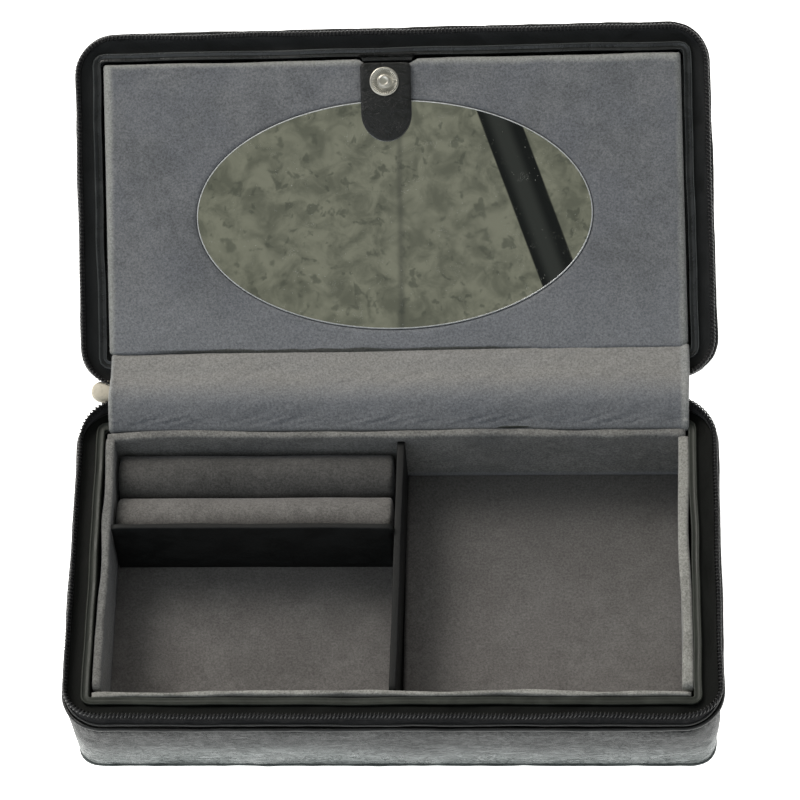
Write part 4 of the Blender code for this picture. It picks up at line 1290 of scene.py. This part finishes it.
def build_panel(looks):
    """The padded panel with its rolled edges, and an oval well for the mirror."""
    low, high = local_box("mirror_panel", LID)
    glass_low, glass_high = local_box("mirror_glass", LID)
    anchor_low, anchor_high = local_box("strap_anchor", LID)
    centre = np.array([(glass_low.x + glass_high.x) / 2, (glass_low.y + glass_high.y) / 2])
    axes = np.array([glass_high.x - glass_low.x, glass_high.y - glass_low.y]) / 2
    half = np.array([(high.x - low.x) / 2, (high.y - low.y) / 2])
    path, _ = rim_path(half[0], half[1], 0.0014, 0.0016)
    middle = np.array([(high.x + low.x) / 2, (high.y + low.y) / 2])
    border = path[:, :2] + middle
    spots = raised(border, 0.0)
    top_side = np.clip((border[:, 1] - high.y) / 0.0002 + 1, 0, 1)
    low_side = np.clip((low.y - border[:, 1]) / 0.0002 + 1, 0, 1)
    notch_x = (anchor_low.x + anchor_high.x) / 2
    notch_half = (anchor_high.x - anchor_low.x) / 2 + 0.0004
    notch = 1 / (1 + np.exp((np.abs(border[:, 0] - notch_x) - notch_half) / 0.0004))
    border[:, 1] -= top_side * (notch * 0.0018 + 0.0002 + 0.0002 * wander(spots, 121, 0.04))
    sag = 0.0007 + 0.0007 * np.tanh((border[:, 0] + 0.06) / 0.03) + 0.0004 * wander(spots, 122, 0.05)
    border[:, 1] -= low_side * np.clip(sag, 0, 0.002)
    aim = (border - centre) / axes
    rim = centre + (axes + GLASS_GAP) * aim / np.linalg.norm(aim, axis=1)[:, None]
    gap = np.linalg.norm(border - rim, axis=1)
    top = high.z
    roll = 0.0030
    near = np.array([0.0, 0.0002, 0.0005, 0.0009, 0.0014, 0.0021, 0.0030])
    far = np.array([0.0052, 0.0040, 0.0030, 0.0022, 0.0015, 0.0009, 0.00045, 0.0002, 0.00005, 0.0])
    between = np.linspace(0, 1, 16)[1:-1]
    rings = [raised(rim, top - 0.0015)]
    levels = [np.full(len(gap), reach) for reach in near]
    levels += [near[-1] + (gap - far[0] - near[-1]) * share for share in between]
    levels += [gap - reach for reach in far]
    for inside in levels:
        outside = gap - inside
        flat = rim + (border - rim) * (inside / gap)[:, None]
        dip = 0.00065 * np.clip(1 - inside / 0.0016, 0, 1) ** 2
        over = np.clip(1 - outside / roll, 0, 1)
        drop = 0.75 * roll * (1 - np.sqrt(1 - over ** 2))
        spots = raised(flat, 0.0)
        quiet = np.clip(np.minimum(inside, outside) / 0.004, 0, 1)
        swell = 0.00022 * wander(spots, 123, 0.05) + 0.00010 * wander(spots, 124, 0.014)
        puckers = 0.00012 * np.sin(spots[:, 0] / 0.0011) * np.exp(-outside / 0.003) * wander(spots, 125, 0.03)
        height = top - dip - drop + swell * quiet + puckers * np.clip(outside / 0.001, 0, 1)
        rings.append(raised(flat, height))
    rings.append(raised(border, low.z + 0.0004))
    rings.append(raised(middle + (border - middle) * (1 - 0.0006 / half), low.z))
    panel = put("suede_panel", rings, LID, looks["lid_suede"], caps=True)
    soft_piece(panel, "mirror_panel", "mirror_panel")

    angles = np.linspace(0, 2 * math.pi, 193)[:-1]
    oval = np.stack([np.cos(angles), np.sin(angles)], 1) * axes + centre
    edge = 0.00045
    face_rings = [(edge, glass_low.z + 0.0002), (edge, top - 0.00002)]
    glass = put(
        "mirror_face", inset_rings(oval, face_rings), LID, looks["mirror"], smooth=False, caps=True)
    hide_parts("mirror_glass")
    finish_piece(glass, "mirror_panel")
    edge_rings = [
        (edge + 0.00002, glass_low.z + 0.0002), (edge + 0.00002, top), (edge - 0.00008, top + 0.00004),
        (0.00005, top - 0.0003), (0.0, top - 0.0005), (0.0, glass_low.z + 0.0002)]
    rim = put(
        "mirror_edge", inset_rings(oval, edge_rings), LID, looks["glass_edge"], smooth=False, close=True)
    finish_piece(rim, "mirror_panel")


def build_snap(looks):
    """The leather tab on the panel and the ribbed stud through it."""
    low, high = local_box("snap_patch", LID)
    centre_x = (low.x + high.x) / 2
    outline = tongue_outline((high.x - low.x) / 2, low.y, high.y, 0.0018, 1.12)
    outline[:, 0] += centre_x
    rings = slab_rings(outline, low.z, high.z, 0.00045, 0.00012)
    tab = put("snap_tab", rings, LID, looks["tab_leather"], caps=True)
    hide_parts("snap_patch")
    finish_piece(tab, "mirror_panel")

    stud_low, stud_high = local_box("snap_stud", LID)
    centre = ((stud_low.x + stud_high.x) / 2, (stud_low.y + stud_high.y) / 2, 0.0)
    radius = (stud_high.x - stud_low.x) / 2
    seat = high.z + 0.00012
    collar = [
        (0.9, -0.0003), (1.0, 0.0), (1.0, 0.00035), (0.985, 0.00055), (0.95, 0.00068), (0.90, 0.00072),
        (0.86, 0.00066), (0.82, 0.00056), (0.66, 0.00044), (0.50, 0.00036), (0.47, 0.00036), (0.45, 0.00046),
        (0.425, 0.0005), (0.40, 0.00044)]
    nub = [(0.00205, 0.0006), (0.00190, 0.0012), (0.00205, 0.0017), (0.00228, 0.00205), (0.00230, 0.00235),
           (0.00215, 0.00262), (0.00185, 0.00272), (0.00160, 0.00270), (0.00140, 0.00258), (0.0009, 0.00254),
           (0.0003, 0.00254)]
    profile = [(0.0012, -0.0004)] + [(radius * share, height) for share, height in collar] + nub
    steps = 6 * FLUTES
    rings = turned_rings([(r, h + seat) for r, h in profile], centre, steps)
    ribs = 0.00020 * np.cos(FLUTES * np.arange(steps) * 2 * math.pi / steps)
    for number, (ring_radius, _) in enumerate(profile):
        if radius * 0.48 < ring_radius < radius * 0.83 and number > 7:
            rings[number] = rings[number] + np.stack([0 * ribs, 0 * ribs, ribs], 1)
    stud = put("ribbed_stud", rings, LID, looks["stud_nickel"], caps=True)
    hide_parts("snap_stud")
    finish_piece(stud, "mirror_panel")


def build_strap(looks):
    """The strap's root in the panel's notch, and its tongue behind the panel."""
    low, high = local_box("strap_anchor", LID)
    middle = (low.x + high.x) / 2
    wide = (high.x - low.x) / 2
    far = high.y + 0.0006
    near = low.y - 0.0001
    outline = np.array([
        (middle - wide * 0.97, near), (middle + wide * 0.97, near), (middle + wide * 1.02, (near + far) / 2),
        (middle + wide * 1.17, far), (middle - wide * 1.17, far), (middle - wide * 1.02, (near + far) / 2)])
    fine = []
    for first, second in zip(outline, np.roll(outline, -1, axis=0)):
        fine.append(first[None, :])
        fine.append(line_points(first, second, 0.0007))
    rings = slab_rings(np.concatenate(fine), high.z - 0.0022, high.z - 0.0001, 0.00025)
    root = put("strap_root", rings, LID, looks["tab_leather"], caps=True)
    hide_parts("strap_anchor")
    finish_piece(root, "lid")

    inward = LID.inverted() @ Vector(JOINTS["snap_strap_swing"]["pos_m"])
    place = LID @ Matrix.Translation(inward) @ Matrix.Rotation(STRAP_DROOP, 4, "X")
    low, high = local_box("snap_strap", place)
    outline = tongue_outline((high.x - low.x) / 2, low.y, high.y, 0.0008, 1.0)
    rings = slab_rings(outline, low.z, high.z, 0.0004)
    tongue = put("strap_tongue", rings, place, looks["tab_leather"], caps=True)
    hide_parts("snap_strap")
    finish_piece(tongue, "snap_strap")


def build_pocket(looks):
    """The suede that lines the lid's pocket."""
    low, high = local_box("lid_back_lining", LID_HALF)
    lining = cushion(
        "pocket_lining", low, high, 0.0006, 0.0, 0.0002, 131, LID_HALF, looks["back_suede"], 0.004)
    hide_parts("lid_back_lining")
    finish_piece(lining, "lid")


def dress_cad_nodes(looks):
    """Give the CAD nodes that stay their materials."""
    chosen = {
        "snap_rivet": "nickel", "snap_cap": "nickel", "snap_socket": "nickel", "zip_pull": "slider",
        "spine_board": "board",
    }
    for name in frame["nodes"]:
        if name.startswith("panel_ledge"):
            chosen[name] = "divider"
        elif "_board" in name and name != "spine_board":
            # The base's boards take the near-black board: painted shade where they show through the groove.
            chosen[name] = "hardboard" if name.startswith("base") else "board"
    for name, look in chosen.items():
        mesh = frame["nodes"][name].data
        mesh.materials.clear()
        mesh.materials.append(looks[look])


# ---------------------------------------------------------------- the studio

def build_floor():
    """A pale floor that the case stands on."""
    mesh = bpy.data.meshes.new("floor")
    size = 3.0
    mesh.from_pydata(
        [(-size, -size, 0), (size, -size, 0), (size, size, 0), (-size, size, 0)], [], [(0, 1, 2, 3)])
    look = Look("floor_paper")
    look.set(Base_Color=(0.93, 0.93, 0.92), Roughness=0.9, Specular_IOR_Level=0.1,
             Emission_Color=(1.0, 1.0, 0.985), Emission_Strength=1.5)
    floor = link("floor", mesh, look.material, smooth=False)
    floor.location.z = -0.0004


def build_sky(looking):
    """A soft white room. The mirror sees its ceiling: mottled and olive grey, with a dark bar across it."""
    world = bpy.data.worlds.new("studio")
    bpy.context.scene.world = world
    world.use_nodes = True
    tree = world.node_tree
    background = tree.nodes["Background"]
    look = Look.__new__(Look)
    look.tree = tree
    look.place = tree.nodes.new("ShaderNodeTexCoord").outputs["Generated"]

    def component(direction):
        node = look.add("VectorMath")
        node.operation = "DOT_PRODUCT"
        look.join(look.place, node.inputs[0])
        look.join(direction, node.inputs[1])
        return node.outputs["Value"]

    across = (Vector((1, 0, 0)) - looking * looking.x).normalized()
    toward, side, rise = (component(way) for way in (looking, across, looking.cross(across)))
    high, back, left = (component(way) for way in ((0, 0, 1), (0, 1, 0), (-1, 0, 0)))

    white = look.blend(look.spread(back, -0.5, 0.75), (0.50, 0.53, 0.60), (0.98, 0.94, 0.88))
    white = look.blend(look.spread(high, -0.1, 0.9), (0.62, 0.64, 0.66), white)
    white = look.blend(look.spread(left, -0.9, 0.9, 0.0, 0.8), look.blend(0.42, white, (0, 0, 0)), white)
    mottle = look.noise(0.0058, 5.0, 0.62, 0.5)
    pits = look.spread(look.noise(0.0030, 3.0, 0.55, 0.4), 0.57, 0.66)
    ceiling = look.blend(look.spread(mottle, 0.34, 0.66), (0.122, 0.126, 0.098), (0.212, 0.214, 0.166))
    ceiling = look.blend(look.times(pits, 0.6), ceiling, (0.072, 0.078, 0.062))
    bar_side, bar_lean = 0.0341, -0.361
    bar_place = look.less(look.less(side, bar_side), look.times(rise, bar_lean))
    bar_outer, bar_inner = 0.0051, 0.0047
    bar = look.spread(look.size(bar_place), bar_outer, bar_inner)
    gleam = look.spread(look.size(look.plus(bar_place, 0.0006)), 0.0036, 0.0008)
    ceiling = look.blend(bar, ceiling, look.blend(gleam, (0.013, 0.0145, 0.014), (0.036, 0.039, 0.036)))
    seam_side, seam_half = 0.0013, 0.0013
    seam = look.spread(look.size(look.less(side, seam_side)), seam_half, 0.0)
    ceiling = look.blend(look.times(seam, 0.45), ceiling, (0.05, 0.054, 0.048))
    near = look.spread(toward, 0.80, 0.93)
    tree.links.new(look.blend(near, white, ceiling), background.inputs["Color"])
    background.inputs["Strength"].default_value = 1.0


def add_light(name, size, place, aim, energy, colour):
    """A soft square light."""
    data = bpy.data.lights.new(name, "AREA")
    data.shape = "SQUARE"
    data.size = size
    data.energy = energy
    data.color = colour
    light = bpy.data.objects.new(name, data)
    bpy.context.scene.collection.objects.link(light)
    light.location = place
    light.rotation_euler = (Vector(aim) - Vector(place)).to_track_quat("-Z", "Y").to_euler()


def build_camera():
    """The camera, high in front of the case and a little to its right."""
    right = Vector((0.998501, 0.016379, -0.052226))
    up = Vector((0.012352, 0.862125, 0.506544))
    eye = Vector((0.0863, -0.7367, 1.4123))
    data = bpy.data.cameras.new("camera")
    data.lens = 184.4
    data.sensor_width = 36.0
    camera = bpy.data.objects.new("camera", data)
    bpy.context.scene.collection.objects.link(camera)
    camera.matrix_world = Matrix.Translation(eye) @ Matrix((right, up, right.cross(up))).transposed().to_4x4()
    bpy.context.scene.camera = camera
    return eye


def build_studio():
    """Camera, floor and light."""
    eye = build_camera()
    glass_low, glass_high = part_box("mirror_glass")
    spot = (glass_low + glass_high) / 2
    view = (eye - spot).normalized()
    facing = (LID.to_3x3() @ Vector((0, 0, 1))).normalized()
    build_sky(2 * view.dot(facing) * facing - view)
    build_floor()
    add_light("key", 0.85, (-0.95, 0.85, 1.45), (0, 0.02, 0.02), 20.0, (1.0, 0.955, 0.90))
    add_light("fill", 1.2, (-0.5, -1.3, 1.5), (0, 0, 0.03), 6.0, (0.86, 0.93, 1.0))
    bpy.context.scene.view_settings.view_transform = "Standard"


LOOKS = make_looks()
build_studio()
build_half("base", BASE_HEIGHT, BASE, LOOKS)
build_half("lid", LID_HEIGHT, LID_HALF, LOOKS)
build_tray(LOOKS)
build_spine(LOOKS)
build_slider(LOOKS)
build_panel(LOOKS)
build_snap(LOOKS)
build_strap(LOOKS)
build_pocket(LOOKS)
dress_cad_nodes(LOOKS)
